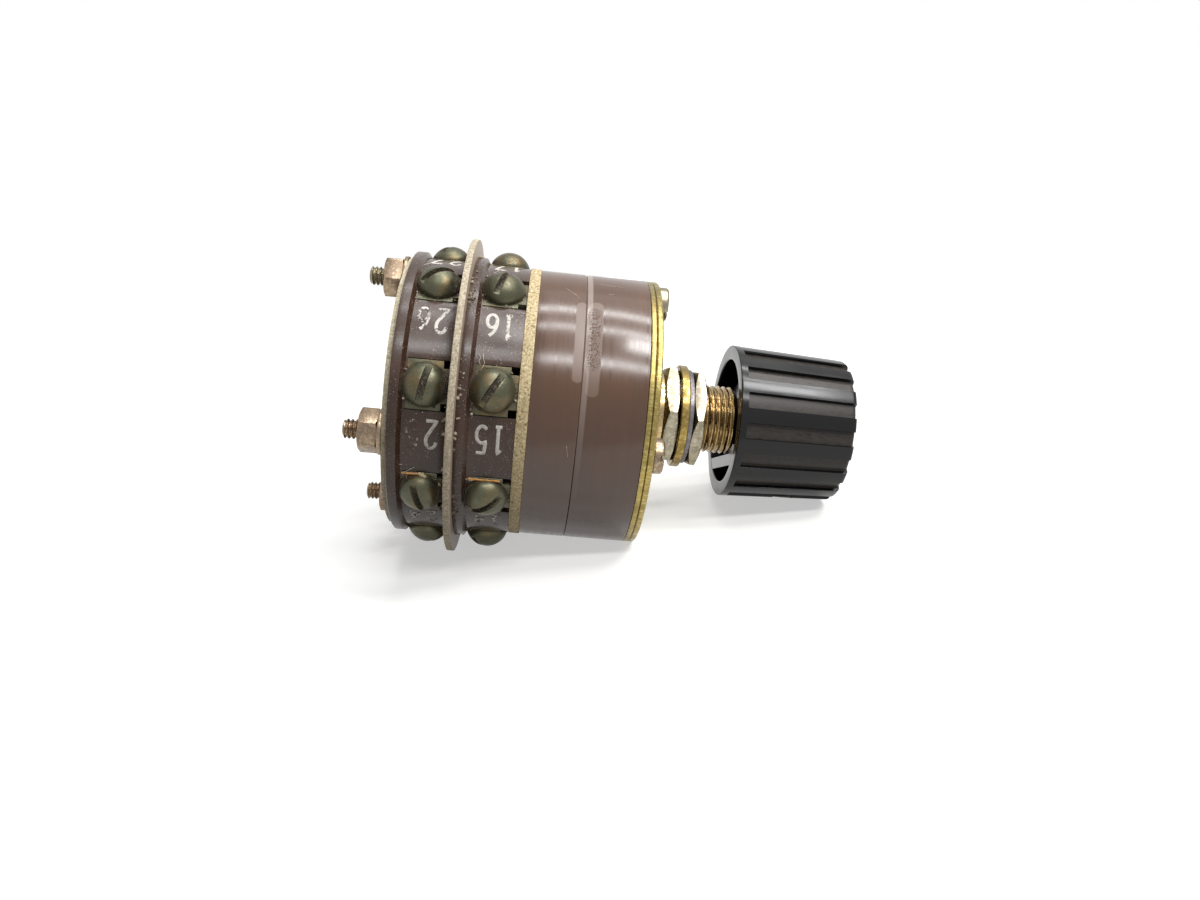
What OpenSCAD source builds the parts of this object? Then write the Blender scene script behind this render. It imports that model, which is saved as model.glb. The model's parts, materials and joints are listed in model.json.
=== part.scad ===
// Panel-mount tapped wirewound rheostat with two decks of screw terminals.
// The shaft lies on X and the knob is at +X. The origin is the centre of the panel seat,
// which is the front face of the inner nut on the bushing.

/* [Drum] */
// Outside diameter of the drum, the deck bands, the front plates and the rear disc
body_d = 36.3; // [35.6:0.1:38]
// Length of the front drum ring, which houses the index mechanism
index_ring_len = 8; // [7.6:0.1:12]
// Length of the rear drum ring, which houses the winding
winding_ring_len = 6.2; // [6.2:0.1:12]
// Wall of the front drum ring and of both decks
wall = 5.65; // [5.2:0.05:5.8]
// Wall of the rear drum ring, which leaves room for the winding
winding_wall = 4.35; // [4.2:0.05:4.5]
// Thickness of the web that closes the back of the front drum ring
web_t = 1; // [0.8:0.1:1.4]
// Bevel on the two drum rings where they meet
seam_bevel = 0.25; // [0.1:0.05:0.4]

/* [Plates and discs] */
// Thickness of each of the two front plates
plate_t = 0.78; // [0.6:0.02:1.2]
// Bevel on the rims of the front plates
plate_bevel = 0.14; // [0.05:0.01:0.25]
// Diameter of the separator disc between the decks
separator_d = 42.7; // [40:0.1:48]
// Thickness of the separator disc
separator_t = 0.82; // [0.6:0.02:1.6]
// Thickness of the rear disc
rear_disc_t = 0.7; // [0.6:0.05:1.5]
// Thickness of the laminate ring between the drum and the front deck
spacer_t = 1.4; // [1:0.1:2]
// How far the laminate ring stands out past the drum
spacer_proud = 0.12; // [0:0.02:0.5]

/* [Decks] */
// Length of each terminal deck along the shaft
deck_len = 7.2; // [7:0.1:10]
// How far the raised rim at the back of each deck stands out past the drum
rim_proud = 0.85; // [0.4:0.05:1.8]
// Length of the raised rim
rim_len = 1.2; // [0.8:0.1:1.3]
// Length of the slope from the rim down to the band
rim_slope = 0.45; // [0.2:0.05:0.5]

/* [Terminals] */
// Number of contacts on each deck
positions = 8; // [6:1:8]
// Angle from one contact to the next
position_pitch = 45; // [40:0.5:45]
// Width of the terminal strap
strap_w = 6; // [5.6:0.1:6.6]
// Thickness of the terminal strap
strap_t = 0.85; // [0.6:0.05:1]
// Length of the flat part of the strap under the screw head
strap_len = 4.3; // [4:0.1:4.4]
// Width of the tongue that turns inward round the deck
tongue_w = 4.2; // [3:0.1:4.6]
// Length of the contact foot inside the deck
foot_len = 4.6; // [3.5:0.1:5]
// How far the middle of the strap lies below the band
strap_sink = 0.15; // [0:0.05:0.4]
// Head diameter of the terminal screws
terminal_head_d = 5.4; // [4.6:0.1:5.8]
// Head height of the terminal screws
terminal_head_h = 2.45; // [1.6:0.05:2.6]
// Thread diameter of the terminal screws
terminal_screw_d = 2.84; // [2.2:0.02:3]
// Length of the terminal screws under the head
terminal_screw_len = 4.4; // [3.5:0.1:4.8]

/* [Tie bolts] */
// Distance from the side of the drum to the centres of the tie bolts
bolt_inset = 2.55; // [2.4:0.05:2.7]
// Diameter of the tie bolts
bolt_d = 2.5; // [2:0.1:2.8]
// Head diameter of the tie bolts
bolt_head_d = 4.5; // [4:0.1:4.8]
// Head height of the tie bolts
bolt_head_h = 1.35; // [1:0.05:2]
// Width across flats of the tie-bolt nuts
bolt_nut_af = 4.9; // [4.4:0.1:5.5]
// Thickness of the tie-bolt nuts
bolt_nut_t = 2.4; // [1.6:0.1:3]
// Diameter of the washers under the tie-bolt nuts
bolt_washer_d = 5.8; // [5.2:0.1:6.2]
// Thickness of the washers under the tie-bolt nuts
bolt_washer_t = 0.5; // [0.3:0.05:0.8]
// Length of bolt that stands out behind the nuts
bolt_end_len = 2; // [1:0.1:6]

/* [Bushing] */
// Outside diameter of the mounting thread
thread_d = 9.52; // [9:0.01:10]
// Length of the bushing ahead of the front plates
bushing_len = 12.7; // [11.5:0.1:16]
// Diameter of the plain boss behind the inner nut
boss_d = 11.9; // [11:0.1:12.4]
// Length of the plain boss
boss_len = 2.35; // [1:0.05:4]
// Diameter of the flange that clamps the plates from inside
flange_d = 13; // [12.4:0.1:14]
// Thickness of that flange
flange_t = 1.1; // [0.8:0.1:1.4]

/* [Mounting hardware] */
// Width across flats of both bushing nuts
nut_af = 12.7; // [12:0.1:14.3]
// Thickness of the inner nut
inner_nut_t = 2.05; // [1.5:0.05:4]
// Thickness of the panel nut
panel_nut_t = 1.75; // [1.5:0.05:2.5]
// Diameter of the brass washer
washer_d = 14.3; // [13:0.1:16]
// Thickness of the brass washer
washer_t = 1.2; // [0.6:0.05:1.4]
// Diameter of the lock washer
lock_washer_d = 13.2; // [12.6:0.1:14]
// Thickness of the lock washer
lock_washer_t = 0.65; // [0.4:0.05:0.8]

/* [Shaft] */
// Diameter of the shaft
shaft_d = 6.35; // [6:0.01:6.4]
// Distance from the shaft's axis to its flats
flat_r = 2.45; // [2.3:0.05:2.9]
// Diameter of the journal in the rear bearing
journal_d = 4; // [3:0.1:4.6]
// Thickness of the shaft collar behind the bushing
collar_t = 1; // [0.6:0.1:1]
// Length of shaft inside the knob, past the end of the bushing
shaft_reach = 12; // [10:0.1:12.5]

/* [Knob] */
// Diameter of the knob at its back
knob_back_d = 21.3; // [20.6:0.1:24]
// Diameter of the knob at its front
knob_front_d = 19.9; // [18.5:0.1:24]
// Length of the knob
knob_len = 15.9; // [15:0.1:20]
// Wall of the knob at its open back
knob_wall = 2; // [1.6:0.1:2.2]
// How far the end of the bushing enters the knob
knob_overlap = 1; // [0.5:0.1:2]
// Length of the plain band behind the flutes
knob_band = 0.95; // [0.6:0.05:3]
// Number of flutes
flute_count = 16; // [8:1:18]
// Width of each flute
flute_w = 2; // [1:0.1:2.2]
// Depth of each flute
flute_depth = 0.55; // [0.3:0.05:0.9]
// Radius round the knob's front edge
knob_edge_r = 1; // [0.5:0.1:1.5]
// Thread diameter of the set screw
set_screw_d = 3; // [2.4:0.1:3.4]

/* [Index] */
// Gap between the lobes of the index wheel and the wall round it
wheel_gap = 3.3; // [3.1:0.1:3.7]
// Depth of the notches between the lobes
notch_depth = 0.7; // [0.4:0.05:0.9]
// Radius of the nose on each detent spring
nose_r = 1.2; // [1:0.05:1.3]
// Thickness of the detent springs
spring_t = 0.4; // [0.3:0.05:0.5]
// Width of the detent springs along the shaft
spring_w = 2.2; // [1.6:0.1:2.4]
// Diameter of the stop pin
stop_pin_d = 2; // [1.6:0.1:2.4]

/* [Winding] */
// Width of the core along the shaft
core_w = 3.4; // [3:0.1:3.4]
// Radial height of the core
core_h = 2.6; // [2:0.1:2.8]
// Diameter of the resistance wire
wire_d = 0.5; // [0.3:0.05:0.6]
// Turns between one tap and the next
turns_per_step = 6; // [3:1:7]

/* [Hidden] */
$fn = 96;

// Clearances
fit = 0.04;        // radial, shaft in a bore or nut on a thread
slip = 0.1;        // per side, one fixed piece beside another
running = 0.3;     // between pieces that turn and pieces that don't

// Radii
body_r = body_d / 2;
bore_r = body_r - wall;
winding_bore_r = body_r - winding_wall;
shaft_r = shaft_d / 2;
thread_r = thread_d / 2;
neck_r = (thread_d + boss_d) / 4;
bolt_circle_r = body_r - bolt_inset;
wheel_r = bore_r - wheel_gap;
separator_bore_r = shaft_r + running;

// Stack along X, from the panel seat at 0 to the rear
x_boss_front = -inner_nut_t;
x_plate_front = x_boss_front - boss_len;
x_inner_plate = x_plate_front - plate_t;
x_index_front = x_inner_plate - plate_t;
x_winding_front = x_index_front - index_ring_len;
x_spacer_front = x_winding_front - winding_ring_len;
x_front_deck = x_spacer_front - spacer_t;
x_separator = x_front_deck - deck_len;
x_rear_deck = x_separator - separator_t;
x_rear_disc = x_rear_deck - deck_len;
x_rear_face = x_rear_disc - rear_disc_t;
x_nut_rear = x_rear_face - bolt_washer_t - bolt_nut_t;

// Stack along X, from the panel seat forward
x_bushing_tip = x_plate_front + bushing_len;
x_knob_back = x_bushing_tip - knob_overlap;
x_shaft_tip = x_bushing_tip + shaft_reach;

// Angles about X, from +Z towards -Y
first_contact = 247.5;
travel = (positions - 1) * position_pitch;
bolt_angles = [0, 90, 180, 270];
spring_angles = [45, 45 + round(180 / position_pitch) * position_pitch];
function contact_angle(k) = first_contact - k * position_pitch;

// Places a child that is drawn along Z so that it lies along X from x
module along_x(x) translate([x, 0, 0]) rotate([0, 90, 0]) children();

// Turns a child that is drawn above the shaft to an angle about the shaft
module at_angle(a) rotate([a, 0, 0]) children();

module disc(x, len, r, hole_r, bevel = 0)
    along_x(x) rotate_extrude() polygon([
        [hole_r, 0], [r - bevel, 0], [r, bevel], [r, len - bevel], [r - bevel, len], [hole_r, len]
    ]);

module bolt_holes(x, len)
    for (a = bolt_angles) at_angle(a) translate([0, 0, bolt_circle_r])
        along_x(x - 1) cylinder(h = len + 2, r = bolt_d / 2 + slip, $fn = 32);

// A block that stands above the shaft: x and z ranges, and a width across Y
module block(x0, x1, z0, z1, w) translate([x0, -w / 2, z0]) cube([x1 - x0, w, z1 - z0]);

module hex_nut(x, t, af, hole_r, both_sides = true) {
    corner_r = af / sqrt(3);
    face_r = af / 2 * 0.97;
    drop = (corner_r - face_r) * 0.45;
    along_x(x) difference() {
        intersection() {
            cylinder(h = t, r = corner_r, $fn = 6);
            rotate_extrude() polygon([
                [0, 0], [both_sides ? face_r : corner_r, 0], [corner_r, both_sides ? drop : 0],
                [corner_r, t - drop], [face_r, t], [0, t]
            ]);
        }
        translate([0, 0, -1]) cylinder(h = t + 2, r = hole_r);
    }
}

// A bore with one flat, for pieces keyed to the shaft
module keyed_bore(x, len) difference() {
    along_x(x - 1) cylinder(h = len + 2, r = shaft_r + fit);
    block(x - 2, x + len + 2, flat_r + fit, shaft_r + 1, shaft_d + 2);
}

// Knob

knob_r = knob_back_d / 2;
cavity_r = knob_r - knob_wall;
hub_r = shaft_r + 2.4;
hub_gap = knob_overlap + 0.7;       // from the knob's back to its hub, past the bushing
cavity_depth = 6;
rib_z = thread_r + running;         // underside of the rib that crosses the cavity
rib_t = 1.6;
rib_root = 0.5;                     // how far the rib runs into the wall round it
x_rib_front = x_knob_back + cavity_depth + rib_root;
boss_w = set_screw_d + 3;
set_screw_x = x_knob_back + 9;
set_screw_len = 4.5;
set_screw_slot = 0.6;               // width and depth of the slot in the set screw
knob_clock = first_contact - 3.75;  // angle at which the knob is clamped on the shaft
set_screw_angle = knob_clock - 90;
face_recess = 0.5;                  // depth of the flat inside the rim of the knob's front
face_rim = 2.4;                     // width of that rim
mark_w = 0.9;                       // groove that marks the knob's position
mark_depth = 0.9;
taper = atan((knob_back_d - knob_front_d) / 2 / knob_len);

module knob_shell() along_x(x_knob_back) rotate_extrude() {
    front_r = knob_front_d / 2;
    difference() {
        union() {
            polygon([
                [0, 0], [knob_r, 0], [front_r, knob_len - knob_edge_r],
                [front_r - knob_edge_r, knob_len], [0, knob_len]
            ]);
            translate([front_r - knob_edge_r, knob_len - knob_edge_r]) intersection() {
                circle(r = knob_edge_r);
                square(knob_edge_r);
            }
        }
        translate([0, -1]) square([cavity_r, hub_gap + 1]);
        translate([hub_r, -1]) square([cavity_r - hub_r, cavity_depth + 1]);
        translate([-1, knob_len - face_recess]) square([front_r - face_rim + 1, face_recess + 1]);
    }
}

module knob_flutes() for (k = [0:flute_count - 1])
    at_angle(knob_clock + (k + 0.5) * 360 / flute_count)
        translate([x_knob_back + knob_band, 0, knob_r - knob_band * tan(taper) - flute_depth])
            rotate([0, taper, 0]) translate([0, -flute_w / 2, 0]) cube([knob_len + 5, flute_w, 5]);

module knob() color([0.05, 0.05, 0.055]) difference() {
    union() {
        knob_shell();
        at_angle(set_screw_angle) intersection() {
            union() {
                block(x_knob_back, x_rib_front, rib_z, rib_z + rib_t, knob_back_d);
                block(x_knob_back + hub_gap + rib_root, x_rib_front, 0, knob_r, boss_w);
            }
            along_x(x_knob_back) cylinder(h = x_rib_front - x_knob_back, r = cavity_r + rib_root);
        }
    }
    knob_flutes();
    along_x(x_knob_back) cylinder(h = x_shaft_tip - x_knob_back + 0.4, r = shaft_r + fit);
    along_x(x_knob_back - 1) cylinder(h = hub_gap + 1, r = thread_r + running);
    at_angle(set_screw_angle) translate([set_screw_x, 0, 0]) cylinder(h = knob_r, r = set_screw_d / 2 + fit);
    at_angle(knob_clock) block(
        x_knob_back + knob_len - mark_depth, x_knob_back + knob_len + 1, knob_front_d / 4,
        knob_front_d, mark_w
    );
}

module knob_set_screw() color([0.25, 0.25, 0.26]) at_angle(set_screw_angle) difference() {
    z_top = flat_r + fit / 2 + set_screw_len;
    translate([set_screw_x, 0, z_top - set_screw_len])
        cylinder(h = set_screw_len, r = set_screw_d / 2, $fn = 48);
    block(
        set_screw_x - set_screw_d, set_screw_x + set_screw_d, z_top - set_screw_slot, z_top + 1,
        set_screw_slot
    );
}

// Shaft

collar_r = 4.6;
x_collar_front = x_index_front - flange_t - slip;
x_collar_rear = x_collar_front - collar_t;
bearing_flange_t = 0.8;
bearing_end = 0.8;
x_step = x_rear_disc + bearing_flange_t + slip;

module shaft() color([0.75, 0.74, 0.7]) difference() {
    along_x(0) rotate_extrude() polygon([
        [0, x_rear_face - bearing_end - 0.4], [journal_d / 2, x_rear_face - bearing_end - 0.4],
        [journal_d / 2, x_step], [shaft_r, x_step], [shaft_r, x_collar_rear],
        [collar_r, x_collar_rear], [collar_r, x_collar_front], [shaft_r, x_collar_front],
        [shaft_r, x_shaft_tip - 0.5], [shaft_r - 0.5, x_shaft_tip], [0, x_shaft_tip]
    ]);
    at_angle(first_contact) block(x_step - 1, x_collar_rear, flat_r, shaft_r + 1, shaft_d + 2);
    at_angle(set_screw_angle) block(x_bushing_tip + 1.5, x_shaft_tip + 1, flat_r, shaft_r + 1, shaft_d + 2);
}

// Bushing and mounting hardware

module bushing() color([0.78, 0.66, 0.4]) along_x(0) rotate_extrude() {
    bevel = 0.6;
    polygon([
        [shaft_r + fit, x_index_front - flange_t], [flange_d / 2, x_index_front - flange_t],
        [flange_d / 2, x_index_front], [neck_r, x_index_front], [neck_r, x_plate_front],
        [boss_d / 2, x_plate_front], [boss_d / 2, x_boss_front], [thread_r, x_boss_front],
        [thread_r, x_bushing_tip - bevel], [thread_r - bevel, x_bushing_tip],
        [shaft_r + fit, x_bushing_tip]
    ]);
}

inner_nut_turn = 7;
panel_nut_turn = 14;
bolt_nut_turn = 80;

module inner_nut() color([0.62, 0.6, 0.52])
    at_angle(inner_nut_turn) hex_nut(-inner_nut_t, inner_nut_t, nut_af, thread_r + fit);

module brass_washer() color([0.8, 0.66, 0.36])
    disc(0, washer_t, washer_d / 2, thread_r + slip, 0.12);

module lock_washer() color([0.5, 0.5, 0.52]) difference() {
    teeth = 12;
    tooth_root_r = thread_r + 1.1;
    disc(washer_t, lock_washer_t, lock_washer_d / 2, thread_r + slip);
    for (k = [0:teeth - 1]) at_angle(k * 360 / teeth)
        block(washer_t - 1, washer_t + lock_washer_t + 1, thread_r - 1, tooth_root_r, 1.2);
}

module panel_nut() color([0.62, 0.6, 0.52]) at_angle(panel_nut_turn)
    hex_nut(washer_t + lock_washer_t, panel_nut_t, nut_af, thread_r + fit);

// Front plates and drum

stop_pin_r = stop_pin_d / 2;
stop_circle_r = wheel_r + 0.3 + stop_pin_r;
stop_angle = first_contact + (360 - travel) / 2;   // midway between the last contact and the first

module front_plate(x) difference() {
    disc(x, plate_t, body_r, neck_r + slip, plate_bevel);
    bolt_holes(x, plate_t);
}

module outer_front_plate() color([0.78, 0.66, 0.36]) front_plate(x_inner_plate);

module inner_front_plate() color([0.78, 0.66, 0.36]) difference() {
    front_plate(x_index_front);
    at_angle(stop_angle) translate([0, 0, stop_circle_r]) along_x(x_index_front - 1)
        cylinder(h = plate_t + 2, r = stop_pin_r + 0.01, $fn = 32);
}

// The index wheel sits behind the collar; its notched layer is at the rear
notches = floor(360 / position_pitch);
x_wheel_front = x_collar_rear;
wheel_stop_t = 1.4;
wheel_notch_t = spring_w + 0.4;
x_wheel_mid = x_wheel_front - wheel_stop_t;
x_wheel_rear = x_wheel_mid - wheel_notch_t;
x_spring = x_wheel_mid - 0.2 - spring_w;

notch_centre_r = wheel_r - notch_depth + nose_r;
nose_z = notch_centre_r + 0.05;
spring_z = nose_z + nose_r * 0.4;
spring_seat_r = bore_r + 1.1;
spring_half = sqrt(pow(spring_seat_r, 2) - pow(spring_z + spring_t, 2)) - 0.05;

module index_housing() color([0.32, 0.2, 0.15]) difference() {
    along_x(x_winding_front) rotate_extrude() polygon([
        [shaft_r + running, 0], [body_r - seam_bevel, 0], [body_r, seam_bevel],
        [body_r, index_ring_len], [bore_r, index_ring_len], [bore_r, web_t],
        [shaft_r + running, web_t]
    ]);
    bolt_holes(x_winding_front, index_ring_len);
    for (a = spring_angles) at_angle(a) intersection() {
        block(
            x_spring - slip, x_index_front + 1, spring_z - slip, spring_z + spring_t + slip, body_d
        );
        along_x(x_spring - slip) cylinder(h = index_ring_len + 1, r = spring_seat_r);
    }
}

// Each detent spring is a flat strip whose round nose drops into a notch of the wheel
module detent_springs() color([0.7, 0.7, 0.72]) for (a = spring_angles)
    at_angle(a) translate([x_spring, 0, 0]) rotate([90, 0, 90]) linear_extrude(spring_w) {
        translate([-spring_half, spring_z]) square([2 * spring_half, spring_t]);
        intersection() {
            translate([0, nose_z]) difference() {
                circle(r = nose_r, $fn = 48);
                circle(r = nose_r - spring_t, $fn = 48);
            }
            translate([-nose_r, 0]) square([2 * nose_r, spring_z + spring_t / 2]);
        }
    }

lug_half_angle = (360 - travel) / 2 - asin(stop_pin_r / stop_circle_r) - 0.4;
lug_angle = stop_angle - (360 - travel) / 2;
lug_half_w = body_r * tan(lug_half_angle);

module index_wheel() color([0.35, 0.3, 0.24]) difference() {
    union() {
        difference() {
            along_x(x_wheel_rear) cylinder(h = wheel_notch_t, r = wheel_r);
            for (k = [0:notches - 1])
                at_angle(spring_angles[0] + k * position_pitch) translate([0, 0, notch_centre_r])
                    along_x(x_wheel_rear - 1)
                        cylinder(h = wheel_notch_t + 2, r = nose_r + slip / 3, $fn = 48);
        }
        along_x(x_wheel_mid) cylinder(h = wheel_stop_t, r = wheel_r - notch_depth - 1.2);
        at_angle(lug_angle) intersection() {
            along_x(x_wheel_mid + slip)
                cylinder(h = wheel_stop_t - slip, r = stop_circle_r + stop_pin_r);
            translate([x_wheel_mid - 1, 0, 0]) rotate([90, 0, 90]) linear_extrude(wheel_stop_t + 2)
                polygon([[0, 0], [lug_half_w, body_r], [-lug_half_w, body_r]]);
        }
    }
    at_angle(first_contact) keyed_bore(x_wheel_rear, wheel_notch_t + wheel_stop_t);
}

module stop_pin() color([0.7, 0.7, 0.72]) at_angle(stop_angle)
    translate([0, 0, stop_circle_r]) along_x(x_wheel_mid + 0.1)
        cylinder(h = x_inner_plate - x_wheel_mid - 0.1, r = stop_pin_r, $fn = 32);

// Winding

coil_gap = 0.35;                    // between the winding and the wall round it
core_r = winding_bore_r - coil_gap - wire_d - core_h / 2;
core_x = x_spacer_front + winding_ring_len / 2;
coil_w = core_w + 2 * wire_d;
coil_h = core_h + 2 * wire_d;
turn_pitch = position_pitch / turns_per_step;
turns = (positions - 1) * turns_per_step + 1;

module winding_housing() color([0.34, 0.21, 0.16]) difference() {
    along_x(x_spacer_front) rotate_extrude() polygon([
        [winding_bore_r, 0], [body_r, 0], [body_r, winding_ring_len - seam_bevel],
        [body_r - seam_bevel, winding_ring_len], [winding_bore_r, winding_ring_len]
    ]);
    bolt_holes(x_spacer_front, winding_ring_len);
}

module core_section(w, h) translate([core_r - h / 2, -w / 2]) square([h, w]);

// The core is held by a foot in the gap of the winding, between the web and the laminate ring
module winding_core() color([0.86, 0.83, 0.76]) {
    foot_angle = (360 - travel - turn_pitch) * 0.6;
    along_x(core_x) rotate_extrude() core_section(core_w, core_h);
    at_angle(stop_angle) along_x(core_x) rotate([0, 0, 180 - foot_angle / 2])
        rotate_extrude(angle = foot_angle) core_section(winding_ring_len, core_h - 0.4);
}

module resistance_winding() color([0.55, 0.5, 0.42]) for (k = [0:turns - 1])
    at_angle(first_contact - k * turn_pitch)
        translate([core_x, -wire_d / 2, core_r]) difference() {
            translate([-coil_w / 2, 0, -coil_h / 2]) cube([coil_w, wire_d, coil_h]);
            translate([-core_w / 2 - 0.02, -1, -core_h / 2 - 0.1])
                cube([core_w + 0.04, wire_d + 2, core_h + 0.12]);
        }

// Laminate ring, decks and discs

lead_d = 0.8;
lead_r = core_r;

module spacer_ring() color([0.8, 0.68, 0.42]) difference() {
    disc(x_front_deck, spacer_t, body_r + spacer_proud, separator_bore_r);
    bolt_holes(x_front_deck, spacer_t);
    for (k = [0:positions - 1]) at_angle(contact_angle(k)) translate([0, 0, lead_r])
        along_x(x_front_deck - 1) cylinder(h = spacer_t + 2, r = lead_d / 2 + fit, $fn = 24);
}

// One lead joins each contact strap of the front deck to the winding
module tap_leads() color([0.75, 0.45, 0.3]) for (k = [0:positions - 1])
    at_angle(contact_angle(k)) translate([0, 0, lead_r]) along_x(x_front_deck)
        cylinder(h = core_x - coil_w / 2 - x_front_deck - 0.02, r = lead_d / 2, $fn = 24);

pocket_len = strap_len + strap_t + 2 * slip;
pocket_w = strap_w + 2 * slip;
seat_r = body_r - strap_sink;
floor_r = seat_r - strap_t;
slot_len = strap_t + 2 * slip;
foot_r = sqrt(pow(bore_r, 2) - pow(tongue_w / 2, 2)) - 0.03;
foot_t = 0.8;
screw_x = -slot_len - strap_len / 2 + 0.15;   // from the deck's front face

module deck(x_front) color([0.3, 0.19, 0.15]) translate([x_front, 0, 0]) difference() {
    rim_r = body_r + rim_proud;
    along_x(-deck_len) rotate_extrude() polygon([
        [bore_r, 0], [rim_r - 0.1, 0], [rim_r, 0.1], [rim_r, rim_len],
        [body_r, rim_len + rim_slope], [body_r, deck_len], [bore_r, deck_len]
    ]);
    bolt_holes(-deck_len, deck_len);
    for (k = [0:positions - 1]) at_angle(contact_angle(k)) {
        block(-pocket_len, 1, floor_r, body_r + 1, pocket_w);
        block(-slot_len, 1, bore_r - 1, floor_r + 1, pocket_w);
        translate([screw_x, 0, seat_r - terminal_screw_len - running])
            cylinder(h = terminal_screw_len, r = terminal_screw_d / 2 + fit, $fn = 32);
        translate([screw_x, 0, seat_r]) cylinder(h = terminal_head_h, r = terminal_head_d / 2 + slip);
    }
}

// Each contact is one strap: a flat under the screw, a tongue and a foot on the inner wall
module contacts(x_front) color([0.62, 0.58, 0.46]) for (k = [0:positions - 1])
    at_angle(contact_angle(k)) translate([x_front, 0, 0]) difference() {
        union() {
            block(-slot_len - strap_len, -slot_len, floor_r, seat_r, strap_w);
            block(-slot_len - 0.1, 0, floor_r, seat_r, tongue_w);
            block(-strap_t, 0, foot_r - foot_t, seat_r, tongue_w);
            block(-foot_len, 0, foot_r - foot_t, foot_r, tongue_w);
        }
        translate([screw_x, 0, floor_r - 1])
            cylinder(h = strap_t + 2, r = terminal_screw_d / 2 + slip, $fn = 32);
    }

// Slot directions of the eight screws of a deck, from the tangent towards the knob
front_slots = [70, 15, 130, 55, 30, 20, 95, 140];
rear_slots = [25, 110, 60, 160, 12, 58, 35, 80];

module terminal_screws(x_front, slots) color([0.45, 0.43, 0.33]) for (k = [0:positions - 1])
    at_angle(contact_angle(k)) translate([x_front + screw_x, 0, seat_r]) difference() {
        head_r = terminal_head_d / 2;
        skirt = 0.55;
        dome_h = terminal_head_h - skirt;
        dome_r = (pow(head_r, 2) + pow(dome_h, 2)) / (2 * dome_h);
        union() {
            translate([0, 0, -terminal_screw_len])
                cylinder(h = terminal_screw_len + 0.1, r = terminal_screw_d / 2, $fn = 32);
            rotate_extrude() {
                square([head_r, skirt]);
                intersection() {
                    translate([0, skirt + dome_h - dome_r]) circle(r = dome_r);
                    square([head_r, terminal_head_h]);
                }
            }
        }
        rotate([0, 0, -slots[k]]) translate([-0.42, -head_r - 1, terminal_head_h - 1.2])
            cube([0.84, terminal_head_d + 2, 2]);
    }

collector_t = 0.6;
collector_in_r = 5.4;
collector_out_r = 8.6;
rivet_r = 0.6;

// The collector ring lies on the closed side of its deck and is riveted through it
module collector(x_back, depth) color([0.78, 0.62, 0.38]) {
    disc(x_back, collector_t, collector_out_r, collector_in_r);
    collector_rivets(x_back - depth, depth + 0.1, rivet_r);
}

module collector_rivets(x, len, r) for (k = [0:2]) at_angle(30 + k * 120)
    translate([0, 0, (collector_in_r + collector_out_r) / 2]) along_x(x)
        cylinder(h = len, r = r, $fn = 24);

module closing_disc(x, t, r, hole_r) difference() {
    disc(x, t, r, hole_r);
    bolt_holes(x, t);
    collector_rivets(x - 1, t + 2, rivet_r + fit);
}

module separator_disc() color([0.82, 0.76, 0.64])
    closing_disc(x_rear_deck, separator_t, separator_d / 2, separator_bore_r);

bearing_r = journal_d / 2 + 1.6;

module rear_disc() color([0.82, 0.78, 0.66])
    closing_disc(x_rear_face, rear_disc_t, body_r, bearing_r + slip);

module rear_bearing() color([0.78, 0.66, 0.4]) along_x(0) rotate_extrude() polygon([
    [journal_d / 2 + fit, x_rear_face - bearing_end], [bearing_r, x_rear_face - bearing_end],
    [bearing_r, x_rear_disc], [collector_in_r - 0.4, x_rear_disc],
    [collector_in_r - 0.4, x_rear_disc + bearing_flange_t],
    [journal_d / 2 + fit, x_rear_disc + bearing_flange_t]
]);

module front_deck() deck(x_front_deck);
module front_contacts() contacts(x_front_deck);
module front_terminal_screws() terminal_screws(x_front_deck, front_slots);
module front_collector() collector(x_separator, separator_t);
module rear_deck() deck(x_rear_deck);
module rear_contacts() contacts(x_rear_deck);
module rear_terminal_screws() terminal_screws(x_rear_deck, rear_slots);
module rear_collector() collector(x_rear_disc, rear_disc_t);

// Rotors and wipers

rotor_r = 6.2;
wiper_t = 0.7;
wiper_w = 3;
rotor_front_gap = 0.5;
rotor_back_gap = collector_t + 1.5;
shoe_r = foot_r - foot_t - running;

module rotor(x_front) color([0.5, 0.33, 0.2]) at_angle(first_contact) difference() {
    x0 = x_front - deck_len + rotor_back_gap + wiper_t;
    len = deck_len - rotor_back_gap - wiper_t - rotor_front_gap;
    along_x(x0) cylinder(h = len, r = rotor_r);
    keyed_bore(x0, len);
}

// The wiper bridges the contact feet and the collector ring
module wiper(x_front) color([0.75, 0.6, 0.35]) at_angle(first_contact) {
    x0 = x_front - deck_len + rotor_back_gap;
    difference() {
        union() {
            along_x(x0) cylinder(h = wiper_t, r = rotor_r - 0.6);
            block(x0, x0 + wiper_t, 0, shoe_r - 0.6, wiper_w);
            intersection() {
                block(x0, x_front - 0.8, shoe_r - 1.8, shoe_r + 1, wiper_w);
                along_x(x0) cylinder(h = deck_len, r = shoe_r);
            }
            translate([0, 0, (collector_in_r + collector_out_r) / 2])
                along_x(x_front - deck_len + collector_t + 0.2)
                    cylinder(h = rotor_back_gap - collector_t - 0.1, r = 0.9, $fn = 32);
        }
        keyed_bore(x0, wiper_t);
    }
}

module front_rotor() rotor(x_front_deck);
module front_wiper() wiper(x_front_deck);
module rear_rotor() rotor(x_rear_deck);
module rear_wiper() wiper(x_rear_deck);

// Tie bolts

module at_bolts() for (a = bolt_angles) at_angle(a) translate([0, 0, bolt_circle_r]) children();

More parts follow.
